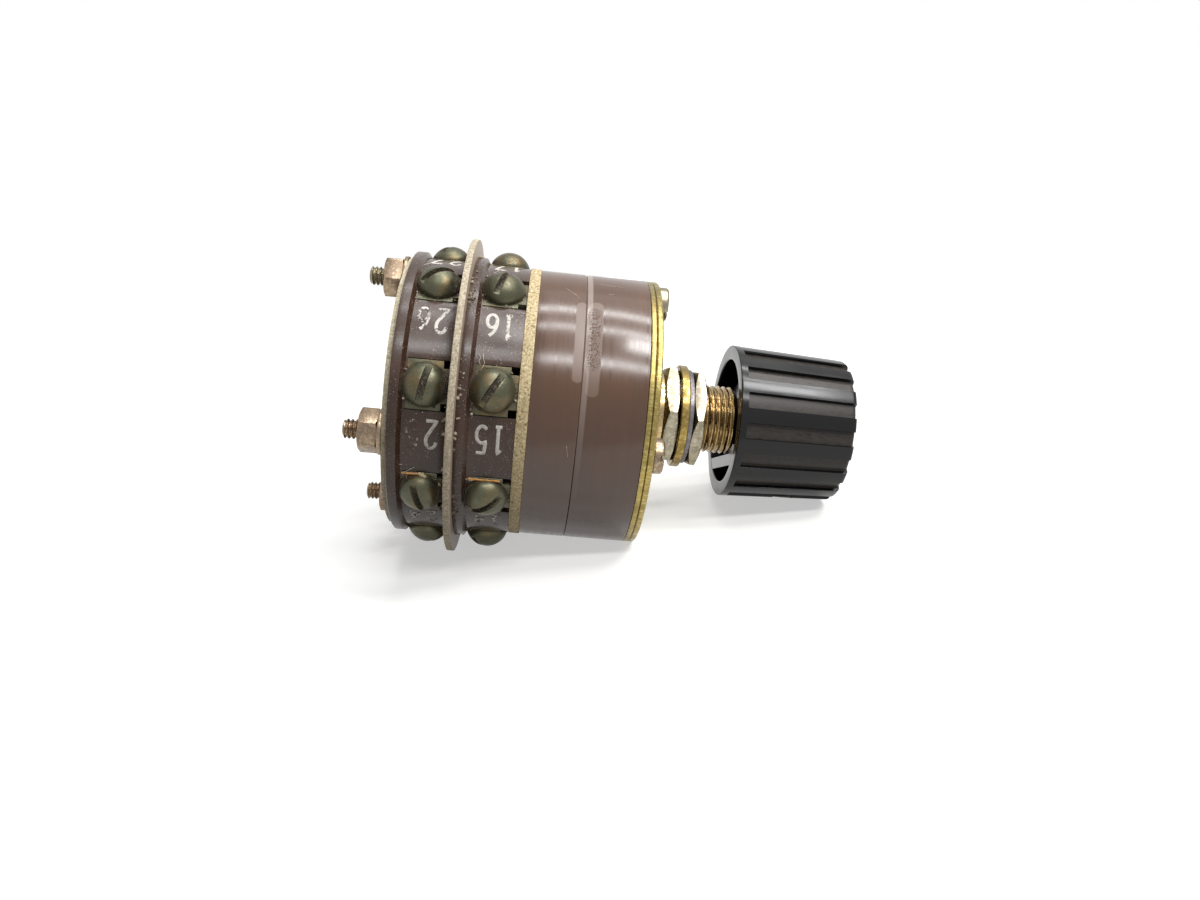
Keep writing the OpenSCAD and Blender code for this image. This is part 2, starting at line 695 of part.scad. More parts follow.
module tie_bolts() color([0.75, 0.68, 0.5]) at_bolts() difference() {
    union() {
        along_x(x_nut_rear - bolt_end_len) cylinder(h = bolt_end_len, r = bolt_d / 2, $fn = 32);
        along_x(x_nut_rear - slip)
            cylinder(h = x_plate_front - x_nut_rear + 2 * slip, r = bolt_d / 2 - fit / 2, $fn = 32);
        disc(x_plate_front, bolt_head_h, bolt_head_d / 2, 0, 0.2);
    }
    block(x_plate_front + bolt_head_h - 0.55, x_plate_front + bolt_head_h + 1, -5, 5, 0.6);
}

module tie_bolt_washers() color([0.7, 0.66, 0.56]) at_bolts()
    disc(x_rear_face - bolt_washer_t, bolt_washer_t, bolt_washer_d / 2, bolt_d / 2 + slip);

module tie_bolt_nuts() color([0.72, 0.64, 0.48]) at_bolts() rotate([bolt_nut_turn, 0, 0])
    hex_nut(x_nut_rear, bolt_nut_t, bolt_nut_af, bolt_d / 2 + fit);

knob();
knob_set_screw();
shaft();
bushing();
inner_nut();
brass_washer();
lock_washer();
panel_nut();
outer_front_plate();
inner_front_plate();
index_housing();
index_wheel();
detent_springs();
stop_pin();
winding_housing();
winding_core();
resistance_winding();
tap_leads();
spacer_ring();
front_deck();
front_contacts();
front_terminal_screws();
front_collector();
front_rotor();
front_wiper();
separator_disc();
rear_deck();
rear_contacts();
rear_terminal_screws();
rear_collector();
rear_rotor();
rear_wiper();
rear_disc();
rear_bearing();
tie_bolts();
tie_bolt_washers();
tie_bolt_nuts();
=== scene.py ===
"""Dresses a stepped wirewound rheostat: finishes, threads, engraved numbers, dirt and a plain stage."""

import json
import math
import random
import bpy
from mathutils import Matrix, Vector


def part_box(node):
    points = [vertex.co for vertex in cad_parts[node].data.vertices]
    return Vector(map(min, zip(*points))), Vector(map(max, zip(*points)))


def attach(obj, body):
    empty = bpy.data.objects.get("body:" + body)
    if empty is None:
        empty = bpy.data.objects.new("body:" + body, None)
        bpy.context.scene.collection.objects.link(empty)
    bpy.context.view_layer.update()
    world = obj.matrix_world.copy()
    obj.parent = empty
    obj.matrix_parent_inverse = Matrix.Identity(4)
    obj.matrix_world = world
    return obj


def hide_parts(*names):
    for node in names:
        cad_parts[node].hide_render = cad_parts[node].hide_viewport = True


bl_info = {
    "name": "Stepped wirewound rheostat",
    "version": (1, 0, 0),
    "blender": (4, 5, 0),
    "location": "View3D > Sidebar > Rheostat",
    "description": "Finishes, threads, engraved numbers and a stage for a stepped wirewound rheostat",
    "category": "Object",
}

import bmesh
import bpy
from mathutils import Matrix, Vector, noise

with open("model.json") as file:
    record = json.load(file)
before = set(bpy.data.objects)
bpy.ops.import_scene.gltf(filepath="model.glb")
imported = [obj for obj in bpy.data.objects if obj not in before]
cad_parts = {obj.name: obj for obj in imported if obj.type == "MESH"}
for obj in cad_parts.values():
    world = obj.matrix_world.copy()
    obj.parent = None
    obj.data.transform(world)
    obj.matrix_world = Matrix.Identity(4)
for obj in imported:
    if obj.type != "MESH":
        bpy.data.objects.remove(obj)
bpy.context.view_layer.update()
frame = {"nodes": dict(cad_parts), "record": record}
CAD = frame["nodes"]
BOXES = {node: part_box(node) for node in CAD}

MM = 0.001
FULL_TURN = 2 * math.pi
FIXED = "frame"
TURNING = "spindle"


def low(node):
    """The lowest corner of a CAD node, in millimetres."""
    return BOXES[node][0] / MM


def high(node):
    """The highest corner of a CAD node, in millimetres."""
    return BOXES[node][1] / MM


def linear(hex_colour):
    """An sRGB hex colour as linear red, green and blue."""
    channels = [int(hex_colour[i : i + 2], 16) / 255 for i in (1, 3, 5)]
    return tuple(c / 12.92 if c <= 0.04045 else ((c + 0.055) / 1.055) ** 2.4 for c in channels)


# Sizes in millimetres and angles in degrees from +Z towards -Y

DRUM_R = high("index_housing").z
SEAM = low("index_housing").x
BOLT_CIRCLE_R = frame["record"]["mounts"][1]["dims"]["pcd_mm"] / 2
BORE_R = 3.215
KNOB_BACK = low("knob").x
KNOB_FRONT = high("knob").x
KNOB_FRONT_R = 9.95
FRONT_DECK_FACE = high("front_deck").x
REAR_DECK_FACE = high("rear_deck").x
SCREW_FROM_FACE = (high("front_terminal_screws").x + low("front_terminal_screws").x) / 2 - FRONT_DECK_FACE
NUMBERS_FROM_FACE = -3.05
NUMBERS_FROM_CONTACT = 19
CONTACTS = 8
FIRST_CONTACT = 247.5
POINTER = FIRST_CONTACT - 3.75  # the knob's mark at rest, a little past the first contact
SET_SCREW = POINTER - 90
FLUTES_FROM_POINTER = 1.5

# Each deck with its first number, its face and the angles of its screw slots
DECKS = (
    ("front", 11, FRONT_DECK_FACE, (70, 15, 130, 55, 30, 20, 95, 140)),
    ("rear", 21, REAR_DECK_FACE, (25, 110, 60, 160, 12, 58, 35, 80)),
)

# Turns a piece that stands on the plane x = 0 to stand above the shaft
UPRIGHT = Matrix.Rotation(math.radians(-90), 4, "Y")


def contact_angle(k):
    """Angle of a contact about the shaft."""
    return FIRST_CONTACT - k * 360 / CONTACTS


def at_angle(degrees):
    """Turns a piece that stands above the shaft to an angle about the shaft."""
    return Matrix.Rotation(math.radians(degrees), 4, "X")


def in_mm(sizes, *names):
    """Lengths from the size properties, in millimetres."""
    return [getattr(sizes, name) / MM for name in names]


def length_in_mm(name, description, size):
    """A property for a length, with its default given in millimetres."""
    return bpy.props.FloatProperty(name=name, description=description, default=size * MM, unit="LENGTH")


def base_colour(name, description, hex_colour):
    """A property for a base colour."""
    return bpy.props.FloatVectorProperty(
        name=name, description=description, default=linear(hex_colour), subtype="COLOR", min=0, max=1
    )


class RheostatSizes(bpy.types.PropertyGroup):
    """Sizes of the details."""

    bushing_pitch: length_in_mm("Bushing pitch", "Pitch of the mounting thread", 0.794)
    bushing_thread_depth: length_in_mm("Bushing thread depth", "Depth of the mounting thread", 0.3)
    bolt_pitch: length_in_mm("Tie bolt pitch", "Pitch of the tie-bolt thread", 0.53)
    bolt_thread_depth: length_in_mm("Tie bolt thread depth", "Depth of the tie-bolt thread", 0.26)
    digit_height: length_in_mm("Digit height", "Height of the engraved digits", 3.45)
    digit_width: length_in_mm("Digit width", "Width of one engraved digit", 1.3)
    digit_gap: length_in_mm("Digit gap", "Gap between the two digits of a number", 0.97)
    digit_stroke: length_in_mm("Digit stroke", "Width of the engraved strokes", 0.42)
    grit_count: bpy.props.IntProperty(
        name="Grit", description="Number of loose dirt grains on each deck", default=420, min=0
    )


class RheostatColours(bpy.types.PropertyGroup):
    """Base colours of the main finishes."""

    knob: base_colour("Knob", "Black phenolic", "#0b0b0c")
    drum: base_colour("Drum", "Turned brown phenolic", "#50311a")
    deck: base_colour("Decks", "Moulded brown phenolic", "#37251b")
    pale_laminate: base_colour("Pale laminate", "Separator and rear disc", "#b9ac93")
    gold_laminate: base_colour("Golden laminate", "Spacer ring", "#c4b187")
    terminals: base_colour("Terminals", "Tarnished terminal screws", "#535343")
    number_fill: base_colour("Numbers", "White filling of the numbers", "#d8d4cc")


# Mesh tools


def even(start, end, count):
    """Values from start to end in a count of even steps."""
    return [start + (end - start) * k / count for k in range(count + 1)]


def rounded(outline, arc_steps=4):
    """The points of an outline of (x, r, fillet) corners, with each fillet drawn as a curve."""
    points = []
    for i, (x, r, fillet) in enumerate(outline):
        corner = Vector((x, r))
        if fillet == 0:
            points.append(corner)
            continue
        before = (Vector(outline[i - 1][:2]) - corner).normalized()
        after = (Vector(outline[(i + 1) % len(outline)][:2]) - corner).normalized()
        reach = fillet / math.tan(math.acos(before.dot(after)) / 2)
        start, end = corner + before * reach, corner + after * reach
        for k in range(arc_steps + 1):
            t = k / arc_steps
            points.append(start * (1 - t) ** 2 + corner * 2 * t * (1 - t) + end * t * t)
    return points


def turned(points, closed=True, shape=None, angles=None, steps=96):
    """Vertices and faces of (x, r) points turned about X. shape may change r at an x and an angle."""
    angles = angles or [FULL_TURN * k / steps for k in range(steps)]
    vertices, rings = [], []
    for x, r in points:
        if r < 1e-6:
            rings.append([len(vertices)] * len(angles))
            vertices.append(Vector((x, 0, 0)))
            continue
        rings.append(list(range(len(vertices), len(vertices) + len(angles))))
        for a in angles:
            reach = shape(x, r, a) if shape else r
            vertices.append(Vector((x, -reach * math.sin(a), reach * math.cos(a))))
    faces = []
    for i in range(len(rings) if closed else len(rings) - 1):
        near, far = rings[i], rings[(i + 1) % len(rings)]
        for k in range(len(angles)):
            m = (k + 1) % len(angles)
            corners = (near[k], far[k], far[m], near[m])
            face = tuple(c for n, c in enumerate(corners) if c != corners[n - 1])
            if len(face) > 2:
                faces.append(face)
    return vertices, faces


def block(x0, x1, y0, y1, z0, z1):
    """Vertices and faces of a block."""
    vertices = [Vector((x, y, z)) for x in (x0, x1) for y in (y0, y1) for z in (z0, z1)]
    faces = [(0, 1, 3, 2), (4, 6, 7, 5), (0, 4, 5, 1), (2, 3, 7, 6), (0, 2, 6, 4), (1, 5, 7, 3)]
    return vertices, faces


def moved(part, matrix):
    """A part's vertices and faces, with the vertices moved by a matrix."""
    return [matrix @ v for v in part[0]], part[1]


def put_in_scene(name, data):
    """An object in the scene for a mesh, curve, lamp or camera."""
    thing = bpy.data.objects.new(name, data)
    bpy.context.scene.collection.objects.link(thing)
    return thing


def mesh_object(name, parts, values=None):
    """One object in metres from parts in millimetres. values gives the wear of each part."""
    bm = bmesh.new()
    wear = bm.verts.layers.float.new("wear")
    for n, (vertices, faces) in enumerate(parts):
        made = [bm.verts.new(v * MM) for v in vertices]
        for v in made:
            v[wear] = values[n] if values else 0
        for face in faces:
            bm.faces.new([made[i] for i in face])
    bmesh.ops.recalc_face_normals(bm, faces=bm.faces)
    mesh = bpy.data.meshes.new(name)
    bm.to_mesh(mesh)
    bm.free()
    return put_in_scene(name, mesh)


def evaluated_mesh(thing):
    """The mesh that an object's curve or modifiers make."""
    bpy.context.view_layer.update()
    graph = bpy.context.evaluated_depsgraph_get()
    return bpy.data.meshes.new_from_object(thing.evaluated_get(graph))


def apply_modifiers(thing):
    """Gives an object the mesh that its modifiers make, and drops the modifiers."""
    mesh = evaluated_mesh(thing)
    thing.modifiers.clear()
    thing.data = mesh


def carve(thing, part):
    """Cuts a part, given in millimetres, out of an object."""
    cutter = mesh_object("cutter", [part])
    cut = thing.modifiers.new("cut", "BOOLEAN")
    cut.object = cutter
    cut.operation = "DIFFERENCE"
    cut.solver = "MANIFOLD"
    apply_modifiers(thing)
    bpy.data.objects.remove(cutter)


def take_part(thing):
    """Takes an object out of the scene and gives its vertices and faces, in millimetres."""
    part = [v.co / MM for v in thing.data.vertices], [tuple(p.vertices) for p in thing.data.polygons]
    bpy.data.objects.remove(thing)
    return part


def round_edges(thing, width, degrees):
    """Rounds edges sharper than an angle, by a width in millimetres."""
    edge = thing.modifiers.new("edge", "BEVEL")
    edge.width = width * MM
    edge.segments = 2
    edge.limit_method = "ANGLE"
    edge.angle_limit = math.radians(degrees)


def dress(thing, body, material, replaces=(), sharp=35):
    """Smooths an object, gives it its material and puts it on its body."""
    thing.data.shade_smooth()
    thing.data.set_sharp_from_angle(angle=math.radians(sharp))
    thing.data.materials.clear()
    thing.data.materials.append(material)
    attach(thing, body)
    if replaces:
        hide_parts(*replaces)


def finish_nodes(material, bevel, *nodes):
    """Gives CAD nodes a material, smooths them and rounds their edges by a bevel in millimetres."""
    for node in nodes:
        thing = CAD[node]
        thing.data.materials.clear()
        thing.data.materials.append(material)
        thing.modifiers.new("weld", "WELD").merge_threshold = 1e-6
        flat = thing.modifiers.new("flat", "DECIMATE")
        flat.decimate_type = "DISSOLVE"
        flat.angle_limit = math.radians(0.5)
        round_edges(thing, bevel, 32)
        thing.modifiers.new("smooth", "NODES").node_group = smoothing_tree()


# Node tools


def colour_of(value):
    """A colour with its alpha, from a hex colour, a grey, or red, green and blue."""
    if isinstance(value, str):
        value = linear(value)
    return (value, value, value, 1) if isinstance(value, (int, float)) else (*value, 1)


def add(tree, kind, inputs=None, out=0, stops=(), **settings):
    """Adds a node and gives an output. Inputs are sockets, numbers or colours; stops fill a ramp."""
    node = tree.nodes.new(kind if "Node" in kind else "ShaderNode" + kind)
    for name, value in settings.items():
        setattr(node, name, value)
    for key, value in (inputs or {}).items():
        socket = node.inputs[key]
        if isinstance(value, bpy.types.NodeSocket):
            tree.links.new(value, socket)
        else:
            socket.default_value = colour_of(value) if socket.type == "RGBA" else value
    for n, (position, value) in enumerate(stops):
        elements = node.color_ramp.elements
        element = elements[n] if n < 2 else elements.new(position)
        element.position = position
        element.color = colour_of(value)
    return node.outputs[out] if len(node.outputs) else None


def smoothing_tree():
    """A node group that shades smooth, apart from edges sharper than 30 degrees."""
    name = "smooth_by_angle"
    if name in bpy.data.node_groups:
        return bpy.data.node_groups[name]
    tree = bpy.data.node_groups.new(name, "GeometryNodeTree")
    for way in ("INPUT", "OUTPUT"):
        tree.interface.new_socket("Geometry", in_out=way, socket_type="NodeSocketGeometry")
    faces = add(tree, "GeometryNodeSetShadeSmooth", {"Geometry": add(tree, "NodeGroupInput")})
    angle = add(tree, "GeometryNodeInputMeshEdgeAngle", out="Unsigned Angle")
    gentle = add(tree, "FunctionNodeCompare", {0: angle, 1: math.radians(30)}, operation="LESS_THAN")
    edges = add(tree, "GeometryNodeSetShadeSmooth", {"Geometry": faces, "Shade Smooth": gentle}, domain="EDGE")
    add(tree, "NodeGroupOutput", {0: edges})
    return tree


def empty_tree(owner):
    """The node tree of a material or world, without its first nodes."""
    owner.use_nodes = True
    owner.node_tree.nodes.clear()
    return owner.node_tree


def new_material(name):
    """A material with its tree and the part's own coordinates."""
    made = bpy.data.materials.new(name)
    made.use_nodes = True
    return made, made.node_tree, add(made.node_tree, "TexCoord", out="Object")


def surfaced(made, bumps=(), **sockets):
    """Sets or feeds sockets of a material's shader, with _ for a space. Bumps are in millimetres."""
    tree = made.node_tree
    for height, distance, strength in bumps:
        relief = {"Height": height, "Distance": distance * MM, "Strength": strength}
        if "Normal" in sockets:
            relief["Normal"] = sockets["Normal"]
        sockets["Normal"] = add(tree, "Bump", relief)
    for name, value in sockets.items():
        socket = tree.nodes["Principled BSDF"].inputs[name.replace("_", " ")]
        if isinstance(value, bpy.types.NodeSocket):
            tree.links.new(value, socket)
        else:
            socket.default_value = value
    return made


def mottle(tree, place, size, along=(1, 1, 1), detail=4, rough=0.6):
    """Mottling with features of a size in millimetres, stretched by along."""
    spread = add(tree, "Mapping", {"Vector": place, "Scale": along})
    scale = 1 / (size * MM)
    return add(tree, "TexNoise", {"Vector": spread, "Scale": scale, "Detail": detail, "Roughness": rough})


def coats(tree, value, *layers):
    """Lays colours or values over one another, each by its pattern or by what its stops make of that."""
    for upper, pattern, *stops in layers:
        share = add(tree, "ValToRGB", {"Fac": pattern}, stops=stops) if stops else pattern
        value = add(tree, "MixRGB", {"Fac": share, "Color1": value, "Color2": upper})
    return value


def drum_patch(tree, place, x_mid, x_half, angle_mid, angle_half, soft):
    """1 inside a rounded patch on the drum, 0 beyond its soft edge. x is in mm, angles in degrees."""
    scaled = add(tree, "Mapping", {"Vector": place, "Scale": (1 / MM, -1 / MM, 1 / MM)})
    axes = add(tree, "SeparateXYZ", {"Vector": scaled}).node.outputs
    around = add(tree, "Math", {0: axes["Y"], 1: axes["Z"]}, operation="ARCTAN2")
    unrolled = add(tree, "Mapping", {
        "Vector": add(tree, "CombineXYZ", {"X": axes["X"], "Y": around}), "Scale": (1, DRUM_R, 1),
        "Location": (-x_mid, -math.radians(angle_mid) * DRUM_R, 0),
    })
    corner = x_half * 0.9
    core = (x_half - corner, DRUM_R * math.radians(angle_half) - corner, 0)
    distance = add(tree, "VectorMath", {0: unrolled}, operation="ABSOLUTE")
    distance = add(tree, "VectorMath", {0: distance, 1: core}, operation="SUBTRACT")
    distance = add(tree, "VectorMath", {0: distance, 1: (0, 0, 0)}, operation="MAXIMUM")
    distance = add(tree, "VectorMath", {0: distance}, out="Value", operation="LENGTH")
    ends = {"From Min": corner, "From Max": corner + soft, "To Min": 1, "To Max": 0}
    return add(tree, "MapRange", {"Value": distance, **ends})


# Finishes


def black_phenolic(colours):
    """Moulded phenolic, buffed glossy: near-black with a clear reflection, and dust in its flutes."""
    made, tree, place = new_material("knob_phenolic")
    dust = add(tree, "Attribute", out="Fac", attribute_name="dust")
    film = mottle(tree, place, 0.9, (1, 2.5, 2.5))
    dusty = add(tree, "Math", {0: dust, 1: film}, operation="MULTIPLY")
    specks = mottle(tree, place, 0.22)
    smears = mottle(tree, place, 2.4, (0.4, 1, 1))
    # Buffing marks are finer than this, and are drawn coarser so that they show
    marks = mottle(tree, place, 0.12, (0.15, 1, 1))
    colour = coats(tree, colours.knob, ("#4a443e", dusty), ("#5c5852", specks, (0.66, 0), (0.72, 0.25)))
    rough = coats(tree, 0.13, (0.24, smears, (0.35, 0), (0.7, 1)), (0.55, dusty))
    return surfaced(made, [(marks, 0.003, 0.4)], Base_Color=colour, Roughness=rough, IOR=1.35)


def turned_phenolic(colours):
    """Phenolic turned on a lathe: satin brown, with fine rings that draw its highlights into bands."""
    made, tree, place = new_material("drum_phenolic")
    # Feed marks are finer than this, and are drawn coarser so that they show
    rings = mottle(tree, place, 0.18, (1, 0.01, 0.01), 3)
    broad = mottle(tree, place, 1.1, (1, 0.05, 0.05), 3)
    warm = mottle(tree, place, 9, detail=3)
    grain = mottle(tree, place, 0.18, detail=5, rough=0.7)
    # Dried varnish left on both sides of the seam
    behind = drum_patch(tree, place, SEAM - 0.75, 0.5, 43, 18, 0.25)
    ahead = drum_patch(tree, place, SEAM + 1.15, 0.66, 45, 21, 0.25)
    residue = add(tree, "Math", {0: behind, 1: ahead}, operation="MAXIMUM")
    faint = add(tree, "Math", {0: residue, 1: 0.16}, operation="MULTIPLY")
    # A paler band on the ring ahead of the seam, painted paler still towards the top as a painted highlight
    pale_seam_band_and_highlight = drum_patch(tree, place, SEAM + 0.24, 0.3, 20, 90, 0.15)
    # Painted highlight: the band's strength grows with height, where the light falls
    height = add(tree, "SeparateXYZ", {"Vector": place}, out="Z")
    ends = {"From Min": -4 * MM, "From Max": 12 * MM, "To Min": 0.04, "To Max": 0.6}
    highlight_towards_top = add(tree, "MapRange", {"Value": height, **ends})
    pale_seam_band_and_highlight = add(tree, "Math", {0: pale_seam_band_and_highlight, 1: highlight_towards_top}, operation="MULTIPLY")
    # A rough spot where the varnish has lifted
    spot = drum_patch(tree, place, SEAM + 0.95, 0.42, 42, 13, 0.6)
    pits = add(tree, "ValToRGB", {"Fac": mottle(tree, place, 0.17, detail=1)}, stops=((0.53, 0), (0.58, 1)))
    pitted = add(tree, "Math", {0: spot, 1: pits}, operation="MULTIPLY")
    colour = coats(
        tree, colours.drum, ("#5f3c22", warm, (0.35, 0), (0.68, 0.55)),
        ("#3c2b1e", broad, (0.3, 0), (0.75, 0.35)), ("#3a2b25", grain, (0.55, 0), (0.75, 0.3)),
        # The pale seam band's colour, strongest on top as a painted highlight
        ("#a59488", faint), ("#a3948b", pale_seam_band_and_highlight), ("#4e3320", pitted),
    )
    rough = coats(tree, 0.16, (0.25, rings, (0.35, 0), (0.65, 1)), (0.4, residue), (0.7, pitted))
    bumps = (rings, 0.0032, 0.5), (pitted, -0.08, 0.8)
    return surfaced(made, bumps, Base_Color=colour, Roughness=rough, IOR=1.56)


def moulded_phenolic(colours):
    """Compression-moulded phenolic: dark reddish brown, dull sheen, with pale dirt in its corners."""
    made, tree, place = new_material("deck_phenolic")
    cloud = mottle(tree, place, 3.2)
    # The filler's grain is finer than this, and is drawn coarser so that it shows
    grain = mottle(tree, place, 0.3, detail=5, rough=0.75)
    dots = add(tree, "ValToRGB", {"Fac": mottle(tree, place, 0.2, detail=2)}, stops=((0.64, 0), (0.69, 0.8)))
    dusty = add(tree, "ValToRGB", {"Fac": mottle(tree, place, 2.6)}, stops=((0.42, 0.1), (0.6, 1)))
    dots = add(tree, "Math", {0: dots, 1: dusty}, operation="MULTIPLY")
    open_air = add(tree, "AmbientOcclusion", {"Distance": 1.2 * MM}, out="AO", samples=8)
    corner = add(tree, "ValToRGB", {"Fac": open_air}, stops=((0.25, 1), (0.72, 0)))
    dirt = mottle(tree, place, 0.5, detail=6, rough=0.7)
    grime = add(tree, "Math", {0: corner, 1: dirt}, operation="MULTIPLY")
    grime = add(tree, "ValToRGB", {"Fac": grime}, stops=((0.3, 0), (0.5, 0.75)))
    colour = coats(
        tree, colours.deck, ("#4b362b", cloud, (0.3, 0), (0.7, 0.6)),
        ("#8c7c6c", grain, (0.6, 0), (0.7, 0.25)), ("#b4a698", dots), ("#6e6252", grime),
    )
    rough = coats(tree, 0.2, (0.32, cloud, (0.3, 0), (0.7, 1)), (0.85, grime))
    bumps = (grain, 0.012, 0.5), (grime, 0.06, 0.6)
    return surfaced(made, bumps, Base_Color=colour, Roughness=rough, IOR=1.4)


def laminate(name, base, dark, light, radius):
    """Glass and resin sheet: its sawn edge shows pale and dark fibre ends, its faces are smoother."""
    made, tree, place = new_material(name)
    # Fibre ends and weave are finer than this, and are drawn coarser so that they show
    dots = mottle(tree, place, 0.3, detail=5, rough=0.8)
    blotches = mottle(tree, place, 2.2, detail=3)
    chips = mottle(tree, place, 0.45, rough=0.7)
    weave = mottle(tree, place, 0.35, (0.2, 1, 1), 3)
    # The faces, away from the rim, are resin over weave
    flat = add(tree, "VectorMath", {0: place, 1: (0, 1, 1)}, operation="MULTIPLY")
    from_axis = add(tree, "VectorMath", {0: flat}, out="Value", operation="LENGTH")
    ends = {"From Min": (radius - 0.25) * MM, "From Max": (radius - 0.1) * MM, "To Min": 1, "To Max": 0}
    face = add(tree, "MapRange", {"Value": from_axis, **ends})
    resin = coats(tree, "#9d8b79", ("#b9a796", weave, (0.4, 0), (0.65, 0.5)))
    colour = coats(
        tree, base, (dark, dots, (0.38, 1), (0.5, 0)), (light, dots, (0.55, 0), (0.66, 1)),
        (dark, blotches, (0.5, 0), (0.75, 0.35)), ("#3b3328", chips, (0.67, 0), (0.72, 0.85)), (resin, face),
    )
    rough = coats(tree, 0.8, (0.5, dots, (0.4, 0), (0.7, 1)), (0.4, face))
    bumps = (dots, 0.05, 0.6), (chips, 0.05, 0.35)
    return surfaced(made, bumps, Base_Color=colour, Roughness=rough, IOR=1.52)


def metal(name, base, shade, bright, rough, grain, depth, tarnish=0.5, stretch=(1, 1, 1), tint=None):
    """A worn metal: base with darker tarnish in patches, rubbed places, and a tint where wear is 1."""
    made, tree, place = new_material(name)
    patches = mottle(tree, place, 1.6, detail=5, rough=0.65)
    # Scratches are finer than this, and are drawn coarser so that they show
    fine = mottle(tree, place, grain, stretch, 5, 0.7)
    specks = mottle(tree, place, 0.16, rough=0.8)
    colour = coats(
        tree, base, (shade, patches, (0.38, tarnish), (0.62, 0)), (bright, fine, (0.5, 0), (0.72, 0.6)),
        (shade, specks, (0.62, 0), (0.7, 0.7)),
    )
    if tint:
        colour = coats(tree, colour, (tint, add(tree, "Attribute", out="Fac", attribute_name="wear")))
    polished, dull = rough
    gloss = coats(tree, dull, (polished, patches, (0.35, 0), (0.65, 1)), (0.7, specks, (0.6, 0), (0.7, 0.8)))
    return surfaced(made, [(fine, depth, 0.7)], Base_Color=colour, Roughness=gloss, Metallic=1)


def tarnished_terminal(colours):
    """Plated brass screws gone olive and dull, rubbed lighter on top, with dirt and painted shade round and in
    the slots.
    """
    made, tree, place = new_material("terminal_metal")
    patches = mottle(tree, place, 1.3, detail=5, rough=0.65)
    fine = mottle(tree, place, 0.25, detail=5, rough=0.75)
    bronze = mottle(tree, place, 2.4, detail=3)
    # Dirt and painted shade: recesses found by ambient occlusion turn dull, bumpy and dark
    open_air = add(tree, "AmbientOcclusion", {"Distance": 1.3 * MM}, out="AO", samples=8)
    corner = add(tree, "ValToRGB", {"Fac": open_air}, stops=((0.35, 1), (0.88, 0)))
    dirt = add(tree, "Math", {0: corner, 1: fine}, operation="MULTIPLY")
    dirt = add(tree, "ValToRGB", {"Fac": dirt}, stops=((0.16, 0), (0.36, 1)))
    # The dirt's colour: near-black painted shade, mottled with paler grit
    dirt_and_shade_colour = coats(tree, "#2a241c", ("#7c705a", mottle(tree, place, 0.25), (0.47, 0), (0.66, 1)))
    colour = coats(
        tree, colours.terminals, ("#4c4b38", patches, (0.35, 0), (0.65, 0.9)),
        ("#6b5636", bronze, (0.5, 0), (0.65, 0.6)), ("#8d876f", fine, (0.55, 0), (0.75, 0.5)),
        ("#33342a", fine, (0.25, 0.5), (0.4, 0)), (dirt_and_shade_colour, dirt),
    )
    metallic = coats(tree, 0.9, (0.6, patches, (0.3, 0), (0.7, 1)), (0, dirt))
    rough = coats(tree, 0.3, (0.5, patches, (0.35, 0), (0.65, 1)), (0.85, dirt))
    bumps = (fine, 0.02, 0.6), (dirt, 0.06, 0.6)
    return surfaced(made, bumps, Base_Color=colour, Roughness=rough, Metallic=metallic)


def number_filling(colours):
    """Chalky white paint wiped into engraving: broken up where it has fallen out."""
    made, tree, place = new_material("number_filling")
    wear = add(tree, "Attribute", out="Fac", attribute_name="wear")
    crumbs = mottle(tree, place, 0.4, detail=5, rough=0.7)
    worn = add(tree, "Math", {0: crumbs, 1: wear}, operation="ADD")
    colour = coats(
        tree, colours.number_fill, ("#a39c92", crumbs, (0.4, 0), (0.6, 0.6)),
        ("#3d2e27", worn, (0.66, 0), (0.74, 1)),
    )
    return surfaced(made, [(crumbs, 0.03, 0.5)], Base_Color=colour, Roughness=0.7)


def plain_grain(name, base, shade, rough, size, metallic=0, along=(1, 1, 1)):
    """A finish for small and inner pieces: one colour with a fine variation of its own."""
    made, tree, place = new_material(name)
    fine = mottle(tree, place, size, along, 5, 0.7)
    colour = coats(tree, base, (shade, fine, (0.35, 0), (0.68, 1)))
    return surfaced(made, [(fine, 0.01, 0.6)], Base_Color=colour, Roughness=rough, Metallic=metallic)


def mixed_grit():
    """Sand, fluff and old flux: dull grains from near-black to cream."""
    made, tree, place = new_material("mixed_grit")
    shade = add(tree, "Attribute", out="Fac", attribute_name="wear")
    stops = (0, "#332a22"), (0.4, "#6b5f50"), (0.75, "#a89b87"), (1, "#d3c9b8")
    colour = add(tree, "ValToRGB", {"Fac": shade}, stops=stops)
    fine = mottle(tree, place, 0.08, detail=3)
    return surfaced(made, [(fine, 0.02, 0.6)], Base_Color=colour, Roughness=0.85)


# Shapes


def threaded(pitch, depth, crest, start, end):
    """A shape for turned() that cuts a right-hand thread below the crest between two places on X."""

    def shape(x, r, a):
        if not start <= x <= end or r < crest - 2 * depth:
            return r
        phase = (x / pitch - a / FULL_TURN) % 1
        groove = abs(2 * phase - 1)
        return min(r, crest - depth * min(1, max(0, 1.25 * groove - 0.1)))

    return shape


def thread_stations(start, end, pitch):
    """Places along X for drawing a thread, ten to a pitch."""
    return even(start, end, max(2, round((end - start) / pitch * 10)))


def knob_r(x):
    """The radius of the knob's lands at a place on X."""
    share = (KNOB_FRONT - x) / (KNOB_FRONT - KNOB_BACK)
    return KNOB_FRONT_R + (high("knob").z - KNOB_FRONT_R) * share


